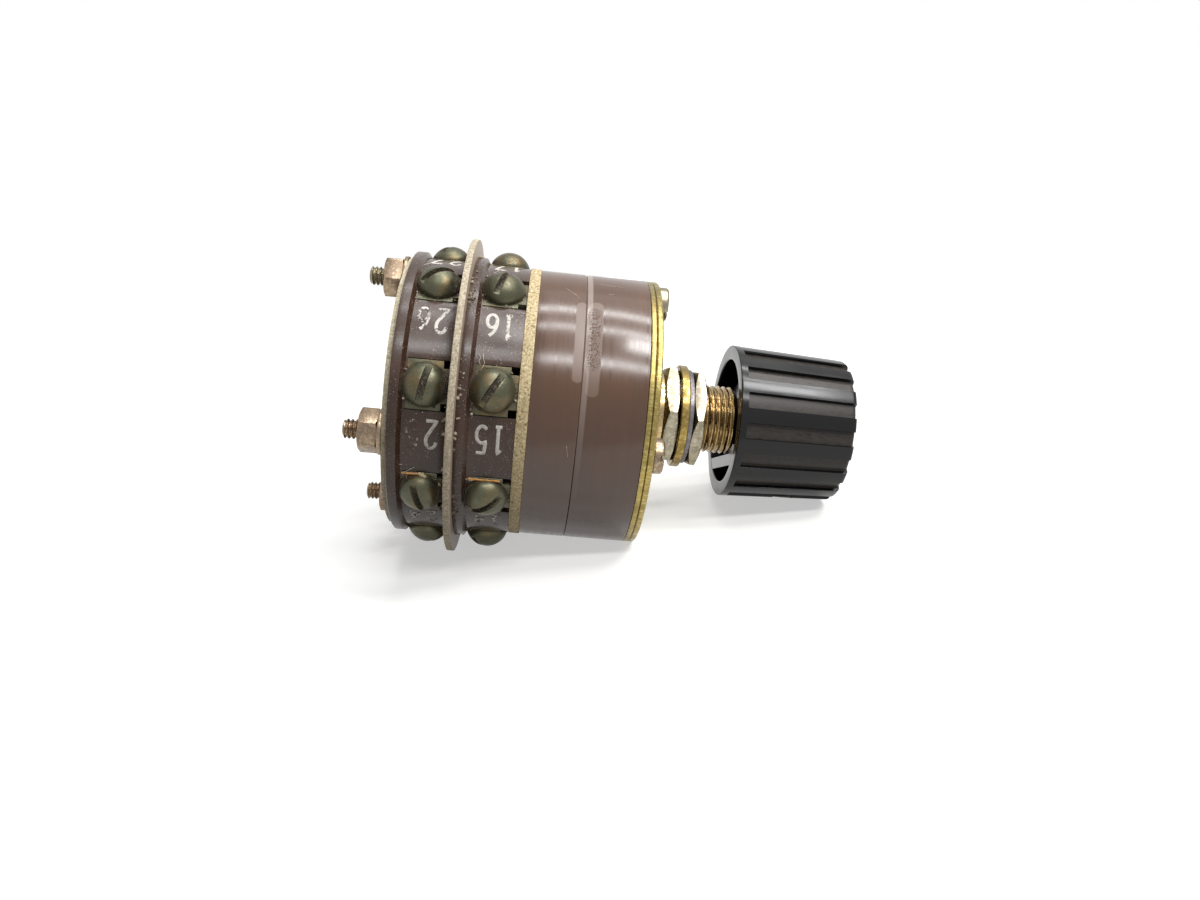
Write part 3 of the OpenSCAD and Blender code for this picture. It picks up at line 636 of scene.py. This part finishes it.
def knob_parts():
    """The knob's shell, with flutes, and the rib and boss inside its hollow back."""
    length = KNOB_FRONT - KNOB_BACK
    recess_r, recess_x = 7.55, length - 0.5
    back_r = high("knob").z
    wall_r = back_r - 2
    band, cavity = 0.95, 6
    hub_r, hub_back, bore_end = 5.575, 1.7, 13.4
    flutes, flute_depth, flute_half, flute_slope = 16, 0.55, 5.9, 0.5
    outline = [
        (recess_x, 0, 0), (recess_x, recess_r, 0.2), (length, recess_r, 0.25), (length, KNOB_FRONT_R, 0.7),
        (band + 0.1, knob_r(KNOB_BACK + band + 0.1), 0), (band, knob_r(KNOB_BACK + band), 0),
        (0, back_r, 0.18), (0, wall_r, 0.2), (cavity, wall_r, 0.3), (cavity, hub_r, 0.2),
        (hub_back, hub_r, 0.15), (hub_back, BORE_R, 0.1), (bore_end, BORE_R, 0), (bore_end, 0, 0),
    ]
    points = [(KNOB_BACK + p.x, p.y) for p in rounded(outline, 6)]
    clock = math.radians(POINTER + FLUTES_FROM_POINTER + 180 / flutes)

    def flute(x, r, a):
        if x < KNOB_BACK + band + 0.05 or r < KNOB_FRONT_R - 1.05:
            return r
        pitch = FULL_TURN / flutes
        offset = math.degrees(abs((a - clock + pitch / 2) % pitch - pitch / 2))
        share = min(1, max(0, (flute_half - offset) / flute_slope))
        return r - flute_depth * share * share * (3 - 2 * share)

    # Close together on the flanks of a flute, wider on its floor and on the land
    flank = (5.4, 5.5, 5.58, 5.65, 5.72, 5.8, 5.9)
    steps = [-s for s in reversed(flank)] + [-3.6, -1.8, 0, 1.8, 3.6, *flank]
    steps += [7.2, 8.5, 9.9, 11.25, 12.6, 14, 15.3]
    angles = [clock + math.radians(k * 360 / flutes + s) for k in range(flutes) for s in steps]
    shell = turned(points, closed=False, shape=flute, angles=angles)

    # The rib and boss run 0.3 into the wall and the floor of the hollow
    inner_r, inner_x = wall_r + 0.3, KNOB_BACK + cavity + 0.3
    rib_low, rib_high, rib_x = 5.06, 6.66, KNOB_BACK + 0.03
    half_low, half_high = (math.sqrt(inner_r**2 - z**2) for z in (rib_low, rib_high))
    section = ((-half_low, rib_low), (half_low, rib_low), (half_high, rib_high), (-half_high, rib_high))
    rib = (
        [Vector((x, y, z)) for x in (rib_x, inner_x) for y, z in section],
        [(0, 1, 2, 3), (7, 6, 5, 4), (0, 4, 5, 1), (1, 5, 6, 2), (2, 6, 7, 3), (3, 7, 4, 0)],
    )
    boss = block(KNOB_BACK + 2.2, inner_x, -3, 3, hub_r - 0.3, inner_r)
    return shell, [moved(part, at_angle(SET_SCREW)) for part in (rib, boss)]


def screw_head(radius, height, skirt, slot_width, slot_depth):
    """A slotted round head standing on the plane x = 0, with its slot along Y."""
    dome = height - skirt
    ball = (radius**2 + dome**2) / (2 * dome)
    reach = math.asin(min(1, radius / ball))
    outline = [(-0.4, 0), (-0.4, radius - 1.1), (0, radius - 1.1), (0, radius - 0.1), (0.1, radius)]
    outline += [(height - ball + ball * math.cos(a), ball * math.sin(a)) for a in even(reach, 0, 12)]
    head = mesh_object("head", [turned(outline, closed=False, steps=64)])
    half, end = slot_width / 2, radius + 1
    carve(head, block(height - slot_depth, height + 1, -end, end, -half, half))
    round_edges(head, 0.07, 40)
    apply_modifiers(head)
    return take_part(head)


def arc(cx, cy, r, start, end, steps=14):
    """Points on an arc, with angles in degrees."""
    return [(cx + r * math.cos(a), cy + r * math.sin(a)) for a in map(math.radians, even(start, end, steps))]


# Strokes of the digits, DIGIT_EM wide and 1 high
DIGIT_EM = 0.6
DIGITS = {
    "1": [[(0.02, 0.84), (0.2, 1), (0.2, 0)], [(0, 0), (0.36, 0)]],
    "2": [arc(0.3, 0.71, 0.28, 170, -35) + [(0.02, 0), (0.6, 0)]],
    "3": [arc(0.28, 0.75, 0.25, 150, -80) + arc(0.28, 0.28, 0.29, 80, -150)],
    "4": [[(0.44, 0), (0.44, 1), (0, 0.3), (0.62, 0.3)]],
    "5": [[(0.56, 1), (0.12, 1), (0.06, 0.55)] + arc(0.28, 0.32, 0.31, 120, -140)],
    "6": [arc(0.62, 0.34, 0.6, 110, 180, 8) + arc(0.3, 0.29, 0.28, 180, 530, 22)],
    "7": [[(0, 1), (0.6, 1), (0.22, 0)]],
    "8": [arc(0.3, 0.76, 0.22, -90, 270, 20), arc(0.3, 0.27, 0.27, 90, 450, 22)],
}


def close_points(stroke, step=0.07):
    """A stroke with points close enough together to follow a curved surface."""
    points = [stroke[0]]
    for a, b in zip(stroke, stroke[1:]):
        count = max(1, round(math.dist(a, b) / step))
        points += list(zip(even(a[0], b[0], count), even(a[1], b[1], count)))[1:]
    return points


def digit_part(digit, height, width, stroke_width):
    """One digit as round strokes: x along the line of text, y up, z out of the surface."""
    curve = bpy.data.curves.new("stroke", "CURVE")
    curve.dimensions = "3D"
    curve.bevel_depth = stroke_width / 2
    curve.bevel_resolution = 2
    curve.use_fill_caps = True
    for stroke in map(close_points, DIGITS[digit]):
        line = curve.splines.new("POLY")
        line.points.add(len(stroke) - 1)
        for point, (s, t) in zip(line.points, stroke):
            point.co = (s / DIGIT_EM * width, t * height, 0, 1)
    thing = put_in_scene("stroke", curve)
    mesh = evaluated_mesh(thing)
    bpy.data.objects.remove(thing)
    return [v.co.copy() for v in mesh.vertices], [tuple(p.vertices) for p in mesh.polygons]


def on_drum(x, degrees, r):
    """A point at x, an angle about the shaft and a radius."""
    a = math.radians(degrees)
    return Vector((x, -r * math.sin(a), r * math.cos(a)))


def number_parts(text, x_mid, angle_mid, sizes):
    """A number's digits wrapped onto the deck, read with its foot towards the smaller angle."""
    height, width, gap, stroke = in_mm(sizes, "digit_height", "digit_width", "digit_gap", "digit_stroke")
    lift, flattening = 0.01, 0.15
    widths = [max(s for line in DIGITS[d] for s, _ in line) / DIGIT_EM * width for d in text]
    before = -(sum(widths) + (len(text) - 1) * gap) / 2
    parts = []
    for digit, own_width in zip(text, widths):
        points, polygons = digit_part(digit, height, width, stroke)
        vertices = []
        for p in points:
            turn = math.degrees((p.y - height / 2) / DRUM_R)
            vertices.append(on_drum(x_mid - before - p.x, angle_mid + turn, DRUM_R + lift + flattening * p.z))
        parts.append((vertices, polygons))
        before += own_width + gap
    return parts


def hair_part(points, radius):
    """A thin hair or bead along points."""
    sides = 6
    vertices, faces = [], []
    for i, point in enumerate(points):
        along = (points[min(i + 1, len(points) - 1)] - points[max(i - 1, 0)]).normalized()
        side = along.cross(point).normalized()
        out = side.cross(along)
        for k in range(sides):
            a = FULL_TURN * k / sides
            vertices.append(point + (side * math.cos(a) + out * math.sin(a)) * radius)
        if i:
            far = sides * i
            near = far - sides
            faces += [(near + k, near + (k + 1) % sides, far + (k + 1) % sides, far + k) for k in range(sides)]
    faces += [tuple(range(sides)), tuple(range(len(vertices) - sides, len(vertices)))]
    return vertices, faces


def lint_part(x, degrees, r, length, draw):
    """A curled hair that lies on a round surface."""
    steps = 12
    heading = draw.uniform(0, FULL_TURN)
    points = []
    for k in range(steps):
        heading += draw.uniform(-0.5, 0.5)
        x += math.cos(heading) * length / steps
        degrees += math.degrees(math.sin(heading) * length / steps / r)
        points.append(on_drum(x, degrees, r + 0.08 * math.sin(math.pi * k / (steps - 1))))
    return hair_part(points, 0.03)


def grain_part(centre, size, seed):
    """A small lumpy grain."""
    bm = bmesh.new()
    bmesh.ops.create_icosphere(bm, subdivisions=2, radius=1.0)
    vertices = []
    for v in bm.verts:
        lump = 0.75 + 0.5 * noise.noise(v.co * 1.3 + Vector((seed, 0, 0)))
        vertices.append(centre + v.co * size * lump)
    faces = [tuple(v.index for v in f.verts) for f in bm.faces]
    bm.free()
    return vertices, faces


# Operators


class RHEOSTAT_OT_knob(bpy.types.Operator):
    """Makes the fluted knob and its set screw, and finishes the shaft"""

    bl_idname = "rheostat.knob"
    bl_label = "Knob and shaft"

    def execute(self, context):
        shell, inner = knob_parts()
        knob = mesh_object("knob_shell", [shell])
        # The hole and the set screw are drawn along X, from the shaft outwards, and then stood up
        screw_x = KNOB_BACK + 9
        screw_place = at_angle(SET_SCREW) @ Matrix.Translation((screw_x, 0, 0)) @ UPRIGHT
        hole_r, screw_r, screw_top = 1.54, 1.5, 10.16
        hole = [(4.5, 0), (4.5, hole_r), (13, hole_r), (13, 0)]
        carve(knob, moved(turned(hole, closed=False, steps=48), screw_place))
        mark = block(KNOB_FRONT - 0.9, KNOB_FRONT + 1, -0.45, 0.45, 4.97, 9)
        carve(knob, moved(mark, at_angle(POINTER)))
        # Dust lies on the floors of the flutes, 0.4 to 0.7 below the lands
        dust = knob.data.attributes.new("dust", "FLOAT", "POINT")
        for v in knob.data.vertices:
            x, below = v.co.x / MM, math.hypot(v.co.y, v.co.z) / MM
            dust.data[v.index].value = float(0.4 < knob_r(x) - below < 0.7)
        black = black_phenolic(context.scene.rheostat_colours)
        dress(knob, TURNING, black, ["knob"])
        dress(mesh_object("knob_rib", inner), TURNING, black)
        # Drawn steel: pale, with fine streaks along it
        steel = metal(
            "shaft_steel", "#b9b6ae", "#6d675c", "#dedbd2", (0.22, 0.42), 0.1, 0.006, stretch=(0.05, 1, 1)
        )
        finish_nodes(steel, 0.06, "shaft")
        outline = [
            (3.3, 0), (3.3, 0.8), (4, screw_r), (screw_top - 0.08, screw_r), (screw_top, screw_r - 0.08),
            (screw_top, 0),
        ]
        screw = mesh_object("set_screw", [turned(outline, closed=False, steps=48)])
        carve(screw, block(9.5, 11, -0.3, 0.3, -3, 3))
        set_screw = mesh_object("slotted_set_screw", [moved(take_part(screw), screw_place)])
        # Steel blackened in oil: nearly as dark as the knob
        black_steel = metal("blackened_steel", "#34322f", "#1d1b19", "#57534d", (0.35, 0.5), 0.5, 0.006)
        dress(set_screw, TURNING, black_steel, ["knob_set_screw"])
        return {"FINISHED"}


class RHEOSTAT_OT_bushing(bpy.types.Operator):
    """Makes the threaded bushing and finishes its nuts and washers"""

    bl_idname = "rheostat.bushing"
    bl_label = "Bushing and hardware"

    def execute(self, context):
        pitch, depth = in_mm(context.scene.rheostat_sizes, "bushing_pitch", "bushing_thread_depth")
        seat, tip = low("inner_nut").x, high("bushing").x
        plates_back, plates_front = low("inner_front_plate").x, high("outer_front_plate").x
        flange_back, flange_r = low("bushing").x, high("bushing").z
        crest, boss_r, neck_r = 4.76, 5.95, 5.355
        points = rounded([
            (flange_back, BORE_R, 0), (flange_back, flange_r, 0.1), (plates_back, flange_r, 0.1),
            (plates_back, neck_r, 0), (plates_front, neck_r, 0), (plates_front, boss_r, 0.15),
            (seat, boss_r, 0.15), (seat, crest, 0),
        ])
        points += [(x, crest) for x in thread_stations(seat + 0.05, tip - 0.45, pitch)]
        points += [(tip - 0.3, crest - 0.15), (tip, crest - 0.55), (tip, BORE_R + 0.1), (tip - 0.1, BORE_R)]
        shape = threaded(pitch, depth, crest, seat + 0.05, tip)
        bushing = mesh_object("threaded_bushing", [turned(points, shape=shape, steps=120)])
        # Turned brass: bright, with brown tarnish in patches
        brass = metal("bushing_brass", "#b39a6c", "#54442e", "#ead9bd", (0.16, 0.3), 0.3, 0.0015)
        dress(bushing, FIXED, brass, ["bushing"], sharp=50)
        # Nickel-plated brass: warm grey, dull in patches
        plated = metal("nut_plate", "#938b78", "#665e4e", "#c9c4b6", (0.18, 0.32), 0.5, 0.0015, 0.7)
        finish_nodes(plated, 0.12, "inner_nut", "panel_nut")
        # Spring steel gone dull grey
        steel = metal("spring_steel", "#706b6d", "#453f42", "#97928f", (0.3, 0.5), 0.25, 0.002)
        finish_nodes(steel, 0.08, "lock_washer")
        finish_nodes(steel, 0.04, "detent_springs", "stop_pin")
        # Rolled brass, yellower than the bushing
        rolled = metal("washer_brass", "#937d46", "#574725", "#cdbb80", (0.18, 0.36), 0.4, 0.002)
        finish_nodes(rolled, 0.22, "brass_washer")
        return {"FINISHED"}


class RHEOSTAT_OT_housing(bpy.types.Operator):
    """Finishes the drum, its plates and discs, and the decks"""

    bl_idname = "rheostat.housing"
    bl_label = "Drum, plates and decks"

    def execute(self, context):
        colours = context.scene.rheostat_colours
        brown = turned_phenolic(colours)
        finish_nodes(brown, 0.05, "index_housing", "winding_housing")
        outline = [
            (SEAM - 0.07, DRUM_R - 0.6, 0), (SEAM - 0.07, DRUM_R - 0.05, 0.03), (SEAM + 0.1, DRUM_R - 0.02, 0),
            (SEAM + 0.3, DRUM_R - 0.01, 0), (SEAM + 0.3, DRUM_R - 0.6, 0),
        ]
        dress(mesh_object("seam_ring", [turned(rounded(outline), steps=256)]), FIXED, brown)
        # Sheared brass plate: yellow, with shear marks across its cut edge
        plate = metal(
            "plate_brass", "#93824e", "#5f5331", "#d8c98f", (0.22, 0.42), 0.25, 0.02, 0.45, (0.35, 1, 1)
        )
        finish_nodes(plate, 0.04, "outer_front_plate", "inner_front_plate")
        pale = laminate("pale_laminate", colours.pale_laminate, "#7f7260", "#e6dccd", high("separator_disc").z)
        finish_nodes(pale, 0.1, "separator_disc")
        cream = laminate("cream_laminate", colours.pale_laminate, "#8b8460", "#e4e0cb", DRUM_R)
        finish_nodes(cream, 0.1, "rear_disc")
        gold = laminate("gold_laminate", colours.gold_laminate, "#6b5530", "#f0e6c6", high("spacer_ring").z)
        finish_nodes(gold, 0.06, "spacer_ring")
        finish_nodes(moulded_phenolic(colours), 0.07, "front_deck", "rear_deck")
        return {"FINISHED"}


class RHEOSTAT_OT_terminals(bpy.types.Operator):
    """Makes the terminal screw heads and finishes the straps"""

    bl_idname = "rheostat.terminals"
    bl_label = "Terminals"

    def execute(self, context):
        tarnish = tarnished_terminal(context.scene.rheostat_colours)
        finish_nodes(tarnish, 0.06, "front_contacts", "rear_contacts")
        radius = (high("front_terminal_screws").x - low("front_terminal_screws").x) / 2
        head = screw_head(radius, height=2.45, skirt=0.55, slot_width=0.84, slot_depth=1.2)
        for deck, _, face, slots in DECKS:
            stand = Matrix.Translation((face + SCREW_FROM_FACE, 0, DRUM_R - 0.15))
            parts = []
            for k, slot in enumerate(slots):
                clocked = Matrix.Rotation(math.radians(-slot), 4, "Z") @ UPRIGHT
                parts.append(moved(head, at_angle(contact_angle(k)) @ stand @ clocked))
            heads = mesh_object(f"{deck}_screw_heads", parts)
            dress(heads, FIXED, tarnish, [f"{deck}_terminal_screws"])
        return {"FINISHED"}


class RHEOSTAT_OT_tie_bolts(bpy.types.Operator):
    """Makes the threaded tie bolts and finishes their nuts and washers"""

    bl_idname = "rheostat.tie_bolts"
    bl_label = "Tie bolts"

    def execute(self, context):
        pitch, depth = in_mm(context.scene.rheostat_sizes, "bolt_pitch", "bolt_thread_depth")
        tip, seat, top = low("tie_bolts").x, high("outer_front_plate").x, high("tie_bolts").x
        crest, shank, head_r = 1.25, 1.2, 2.25
        thread_end = low("tie_bolt_nuts").x + 0.6
        points = [(tip, 0), (tip, crest - 0.35), (tip + 0.1, crest - 0.2)]
        points += [(x, crest) for x in thread_stations(tip + 0.25, thread_end, pitch)]
        points += [(thread_end + 0.1, shank), (seat, shank), (seat, head_r - 0.06), (seat + 0.06, head_r)]
        points += rounded([(seat + 0.3, head_r, 0), (top, head_r, 0.4), (top, 0, 0)])
        shape = threaded(pitch, depth, crest, tip, thread_end)
        bolt = mesh_object("bolt", [turned(points, closed=False, shape=shape, steps=48)])
        carve(bolt, block(top - 0.55, top + 1, -5, 5, -0.3, 0.3))
        part = take_part(bolt)
        # Each bolt's place round the shaft, the turn of its slot, and its wear
        places, turns, wear = zip((0, 20, 0.75), (90, 75, 0), (180, -30, 0), (270, 55, 0.4))
        placed = [
            moved(part, at_angle(place) @ Matrix.Translation((0, 0, BOLT_CIRCLE_R)) @ at_angle(turn))
            for place, turn in zip(places, turns)
        ]
        # Pinkish brass, dulled to grey-green on the worn bolts
        brass = metal(
            "bolt_brass", "#8e7b66", "#54463a", "#c6b6a0", (0.2, 0.38), 0.3, 0.003, 0.6, tint="#8a8570"
        )
        bolts = mesh_object("threaded_tie_bolts", placed, wear)
        dress(bolts, FIXED, brass, ["tie_bolts"], sharp=50)
        finish_nodes(brass, 0.09, "tie_bolt_nuts")
        finish_nodes(brass, 0.08, "tie_bolt_washers")
        return {"FINISHED"}


class RHEOSTAT_OT_numbers(bpy.types.Operator):
    """Engraves the terminal numbers and fills them white"""

    bl_idname = "rheostat.numbers"
    bl_label = "Numbers"

    def execute(self, context):
        filling = number_filling(context.scene.rheostat_colours)
        # How far the filling of each digit has worn away
        worn = {
            14: (0.2, 0.2), 15: (0.03, 0.05), 16: (0.13, 0), 24: (0.22, 0.2), 25: (0.09, 0.3), 26: (0.14, 0.2),
        }
        for deck, first, face, _ in DECKS:
            parts, wear = [], []
            for k in range(CONTACTS):
                x, turn = face + NUMBERS_FROM_FACE, contact_angle(k) + NUMBERS_FROM_CONTACT
                parts += number_parts(str(first + k), x, turn, context.scene.rheostat_sizes)
                wear += worn.get(first + k, (0.1, 0.1))
            dress(mesh_object(f"{deck}_numbers", parts, wear), FIXED, filling)
        return {"FINISHED"}


class RHEOSTAT_OT_dirt(bpy.types.Operator):
    """Adds grit and lint on the decks, varnish and a crumb on the terminals, and scratches on the drum"""

    bl_idname = "rheostat.dirt"
    bl_label = "Dirt and scratches"

    def execute(self, context):
        count = context.scene.rheostat_sizes.grit_count
        grit = mixed_grit()
        draw = random.Random(11)
        for deck, _, face, _ in DECKS:
            parts, shades = [], []
            for n in range(count):
                k, place = draw.randrange(CONTACTS), draw.random()
                size = 0.06 + 0.19 * draw.random() ** 3
                if place < 0.55:  # round the foot of a screw
                    around = draw.uniform(0, FULL_TURN)
                    reach = draw.uniform(2.45, 3.1)
                    x = face + SCREW_FROM_FACE + reach * math.cos(around)
                    turn = math.degrees(reach * math.sin(around) / DRUM_R)
                    r = DRUM_R - 0.12
                elif place < 0.8:  # along the foot of the slope behind the screws
                    x, turn = face - draw.uniform(5.1, 5.75), draw.uniform(-11, 11)
                    r = DRUM_R + 0.02
                else:  # loose on the land
                    x, turn = face - draw.uniform(0.3, 5.4), draw.uniform(9.5, 22.5)
                    size *= 0.5
                    r = DRUM_R
                parts.append(grain_part(on_drum(x, contact_angle(k) + turn, r + size * 0.4), size, n * 1.7))
                shades.append(draw.random())
            # Packed into the corner at the separator
            corner, rim_r, inward = face, DRUM_R, -1
            if deck == "front":
                corner, rim_r, inward = low("front_deck").x, high("front_deck").z, 1
            for n in range(count // 2):
                x = corner + inward * (0.1 + 0.8 * draw.random() ** 2)
                turn = contact_angle(draw.randrange(CONTACTS)) + draw.gauss(4, 7)
                size = 0.1 + 0.2 * draw.random() ** 2
                parts.append(grain_part(on_drum(x, turn, rim_r + size * 0.2), size, n * 2.3))
                shades.append(0.3 + 0.5 * draw.random())
            # Lint on the slope behind the screws
            for _ in range(14):
                x, turn = face - draw.uniform(4.4, 5.8), draw.uniform(-14, 4)
                k = draw.randrange(CONTACTS)
                length = draw.uniform(1.2, 2.6)
                parts.append(lint_part(x, contact_angle(k) + turn, DRUM_R + 0.1, length, draw))
                shades.append(0.95)
            grains = mesh_object(f"{deck}_grit", parts, shades)
            dress(grains, FIXED, grit, sharp=180)
        self.varnish()
        self.crumb()
        self.scratches()
        return {"FINISHED"}

    def varnish(self):
        """Beads of amber varnish along the top edges of two pockets."""
        amber = plain_grain("amber_varnish", "#e3a24a", "#b06a26", 0.22, 0.3)
        parts = []
        for x0, x1, degrees in (
            (FRONT_DECK_FACE - 5.35, FRONT_DECK_FACE - 1.35, 104),
            (REAR_DECK_FACE - 5.4, REAR_DECK_FACE - 2.8, 103.8),
        ):
            points = []
            for k, x in enumerate(even(x0, x1, 16)):
                waver = 0.25 * noise.noise(Vector((k * 0.6, x0, 0)))
                points.append(on_drum(x, degrees + waver, DRUM_R + 0.03))
            parts.append(hair_part(points, 0.17))
        dress(mesh_object("varnish_beads", parts), FIXED, amber, sharp=180)

    def crumb(self):
        """A crumb of cream filler left on a terminal."""
        cream = plain_grain("cream_filler", "#dccfa8", "#b39c6c", 0.6, 0.35)
        parts = []
        for n, t in enumerate(even(0, 1, 8)):
            degrees = 103.6 + 5 * t + 0.9 * noise.noise(Vector((n * 1.3, 0, 0)))
            centre = on_drum(REAR_DECK_FACE - 3.1 + 2.2 * t, degrees, DRUM_R + 0.12)
            parts.append(grain_part(centre, 0.36 + 0.16 * math.sin(math.pi * t), 3.1 * n))
        dress(mesh_object("cream_crumb", parts), FIXED, cream, sharp=180)

    def scratches(self):
        """Fine pale scratches on the drum."""
        pale = plain_grain("scratch_edge", "#b5a195", "#8d7465", 0.35, 0.2)
        parts = []
        for x0, a0, x1, a1 in (
            (-16.9, 15, -14.9, 22.5), (-16.6, 16.4, -15.4, 20.2), (-12.9, 8, -9.4, 9.2),
            (-11.4, 17, -10.7, 16.4), (SEAM - 1.3, 86, SEAM - 1, 91),
        ):
            places = zip(even(x0, x1, 8), even(a0, a1, 8))
            parts.append(hair_part([on_drum(x, degrees, DRUM_R) for x, degrees in places], 0.035))
        dress(mesh_object("drum_scratches", parts), FIXED, pale, sharp=180)


class RHEOSTAT_OT_inner(bpy.types.Operator):
    """Finishes the pieces inside the housing"""

    bl_idname = "rheostat.inner"
    bl_label = "Inner pieces"

    def execute(self, context):
        # Unglazed ceramic: chalky and pale
        ceramic = plain_grain("core_ceramic", "#d9d3c2", "#b8b0a0", 0.75, 0.25)
        finish_nodes(ceramic, 0.1, "winding_core")
        # Oxidised wire: brown-grey with a low sheen
        wire = plain_grain("resistance_wire", "#7b7263", "#4c453b", 0.4, 0.3, 1)
        finish_nodes(wire, 0.06, "resistance_winding")
        # Bare copper: salmon, mottled darker
        copper = plain_grain("copper", "#b8754f", "#8a4f33", 0.32, 0.4, 1)
        finish_nodes(copper, 0.05, "tap_leads")
        # Paper laminate: brown, with its layers across the shaft
        paper = plain_grain("rotor_laminate", "#7c5432", "#5b3a22", 0.5, 0.5, 0, (4, 1, 1))
        finish_nodes(paper, 0.06, "index_wheel", "front_rotor", "rear_rotor")
        # Contact brass: clean and yellow
        brass = plain_grain("contact_brass", "#cbab74", "#9c7f50", 0.3, 0.4, 1)
        wipers = ("front_wiper", "rear_wiper")
        finish_nodes(brass, 0.05, "front_collector", "rear_collector", *wipers, "rear_bearing")
        return {"FINISHED"}


class RHEOSTAT_OT_stage(bpy.types.Operator):
    """Makes the camera, the lamps, the pale floor and the white surroundings"""

    bl_idname = "rheostat.stage"
    bl_label = "Stage"

    def execute(self, context):
        self.camera(context.scene)
        self.lamps()
        self.surroundings(context.scene)
        self.floor()
        context.scene.view_settings.view_transform = "Standard"
        return {"FINISHED"}

    def camera(self, scene):
        """A camera on the -Y side, raised to look down at the terminals and the knob."""
        camera = put_in_scene("camera", bpy.data.cameras.new("camera"))
        camera.data.lens = 27
        camera.data.sensor_width = 36
        camera.data.clip_start = 0.005
        right, up = Vector((0.9933, -0.0349, 0.1101)), Vector((-0.0886, 0.3812, 0.9203))
        turn = Matrix((right, up, right.cross(up))).transposed()
        camera.matrix_world = Matrix.Translation(Vector((-19.24, -119.03, 42.16)) * MM) @ turn.to_4x4()
        scene.camera = camera

    def lamps(self):
        """A wide panel overhead, long lamps that draw bands of light along the drum, and one for the knob."""
        middle = Vector((-12, 0, 0)) * MM
        for name, direction, distance, long, wide, power in (
            ("overhead_panel", (0.1, 0.08, 1), 0.65, 0.45, 1, 1.1),
            ("back_lamp", (0.105, 0.275, 0.95), 0.5, 0.44, 0.04, 1),
            ("top_lamp", (0.105, -0.04, 1), 0.5, 0.44, 0.04, 0.95),
            ("front_lamp", (0.105, -0.54, 0.84), 0.5, 0.44, 0.048, 1.2),
            ("side_lamp", (0.38, -0.21, 0.93), 0.5, 0.15, 0.09, 0.95),
        ):
            lamp = bpy.data.lights.new(name, "AREA")
            lamp.shape = "RECTANGLE"
            lamp.size, lamp.size_y = long, wide
            lamp.energy = power
            aim = Vector(direction).normalized()
            across = aim.cross(Vector((1, 0, 0))).normalized()
            axes = Matrix((across.cross(aim), across, aim)).transposed()
            put_in_scene(name, lamp).matrix_world = Matrix.Translation(middle + aim * distance) @ axes.to_4x4()

    def seen(self, tree):
        """1 for rays that show the surroundings directly, in a mirror or through glass."""
        path = add(tree, "LightPath").node.outputs
        both = add(tree, "Math", {0: path["Is Camera Ray"], 1: path["Is Glossy Ray"]}, operation="MAXIMUM")
        return add(tree, "Math", {0: both, 1: path["Is Transmission Ray"]}, operation="MAXIMUM")

    def surroundings(self, scene):
        """A world that looks white and lights the part only faintly."""
        scene.world = bpy.data.worlds.new("surroundings")
        tree = empty_tree(scene.world)
        faint, white = (add(tree, "Background", {"Color": 1, "Strength": light}) for light in (0.1, 1))
        shown = add(tree, "MixShader", {0: self.seen(tree), 1: faint, 2: white})
        add(tree, "OutputWorld", {"Surface": shown})

    def floor(self):
        """A plane that touches the separator's rim and the knob's front edge, on which the part lies."""
        first = Vector((low("separator_disc").x, 0, low("separator_disc").z))
        second = Vector((KNOB_FRONT - 0.7, 0, low("knob").z + 0.7))
        along = (second - first).normalized()
        plane = bpy.data.meshes.new("floor")
        corners = [
            (first + along * a + Vector((0, b, -0.02))) * MM
            for a, b in ((-110, -95), (95, -95), (95, 170), (-110, 170))
        ]
        plane.from_pydata(corners, [], [(0, 1, 2, 3)])
        floor = put_in_scene("floor", plane)
        made = bpy.data.materials.new("pale_floor")
        tree = empty_tree(made)
        # Lights the part as a grey sheet does, and looks nearly white
        lighting = add(tree, "BsdfDiffuse", {"Color": "#8c8a88"})
        pale = add(tree, "BsdfDiffuse", {"Color": "#cfcfcd"})
        glow = add(tree, "Emission", {"Color": 1, "Strength": 0.5})
        lifted = add(tree, "AddShader", {0: pale, 1: glow})
        shown = add(tree, "MixShader", {0: self.seen(tree), 1: lighting, 2: lifted})
        add(tree, "OutputMaterial", {"Surface": shown})
        plane.materials.append(made)


class RHEOSTAT_PT_panel(bpy.types.Panel):
    """Lists the steps that dress the rheostat"""

    bl_idname = "RHEOSTAT_PT_panel"
    bl_label = "Rheostat"
    bl_space_type = "VIEW_3D"
    bl_region_type = "UI"
    bl_category = "Rheostat"

    def draw(self, context):
        for group in (context.scene.rheostat_sizes, context.scene.rheostat_colours):
            for name in group.__annotations__:
                self.layout.prop(group, name)
        for step in STEPS:
            self.layout.operator(step.bl_idname)


STEPS = (
    RHEOSTAT_OT_knob,
    RHEOSTAT_OT_bushing,
    RHEOSTAT_OT_housing,
    RHEOSTAT_OT_terminals,
    RHEOSTAT_OT_tie_bolts,
    RHEOSTAT_OT_numbers,
    RHEOSTAT_OT_dirt,
    RHEOSTAT_OT_inner,
    RHEOSTAT_OT_stage,
)
CLASSES = (RheostatSizes, RheostatColours, *STEPS, RHEOSTAT_PT_panel)


def register():
    for cls in CLASSES:
        bpy.utils.register_class(cls)
    bpy.types.Scene.rheostat_sizes = bpy.props.PointerProperty(type=RheostatSizes)
    bpy.types.Scene.rheostat_colours = bpy.props.PointerProperty(type=RheostatColours)


def unregister():
    del bpy.types.Scene.rheostat_sizes
    del bpy.types.Scene.rheostat_colours
    for cls in reversed(CLASSES):
        bpy.utils.unregister_class(cls)


def main():
    """Dresses the part step by step."""
    register()
    for step in STEPS:
        group, name = step.bl_idname.split(".")
        getattr(getattr(bpy.ops, group), name)()


if __name__ == "__main__":
    main()
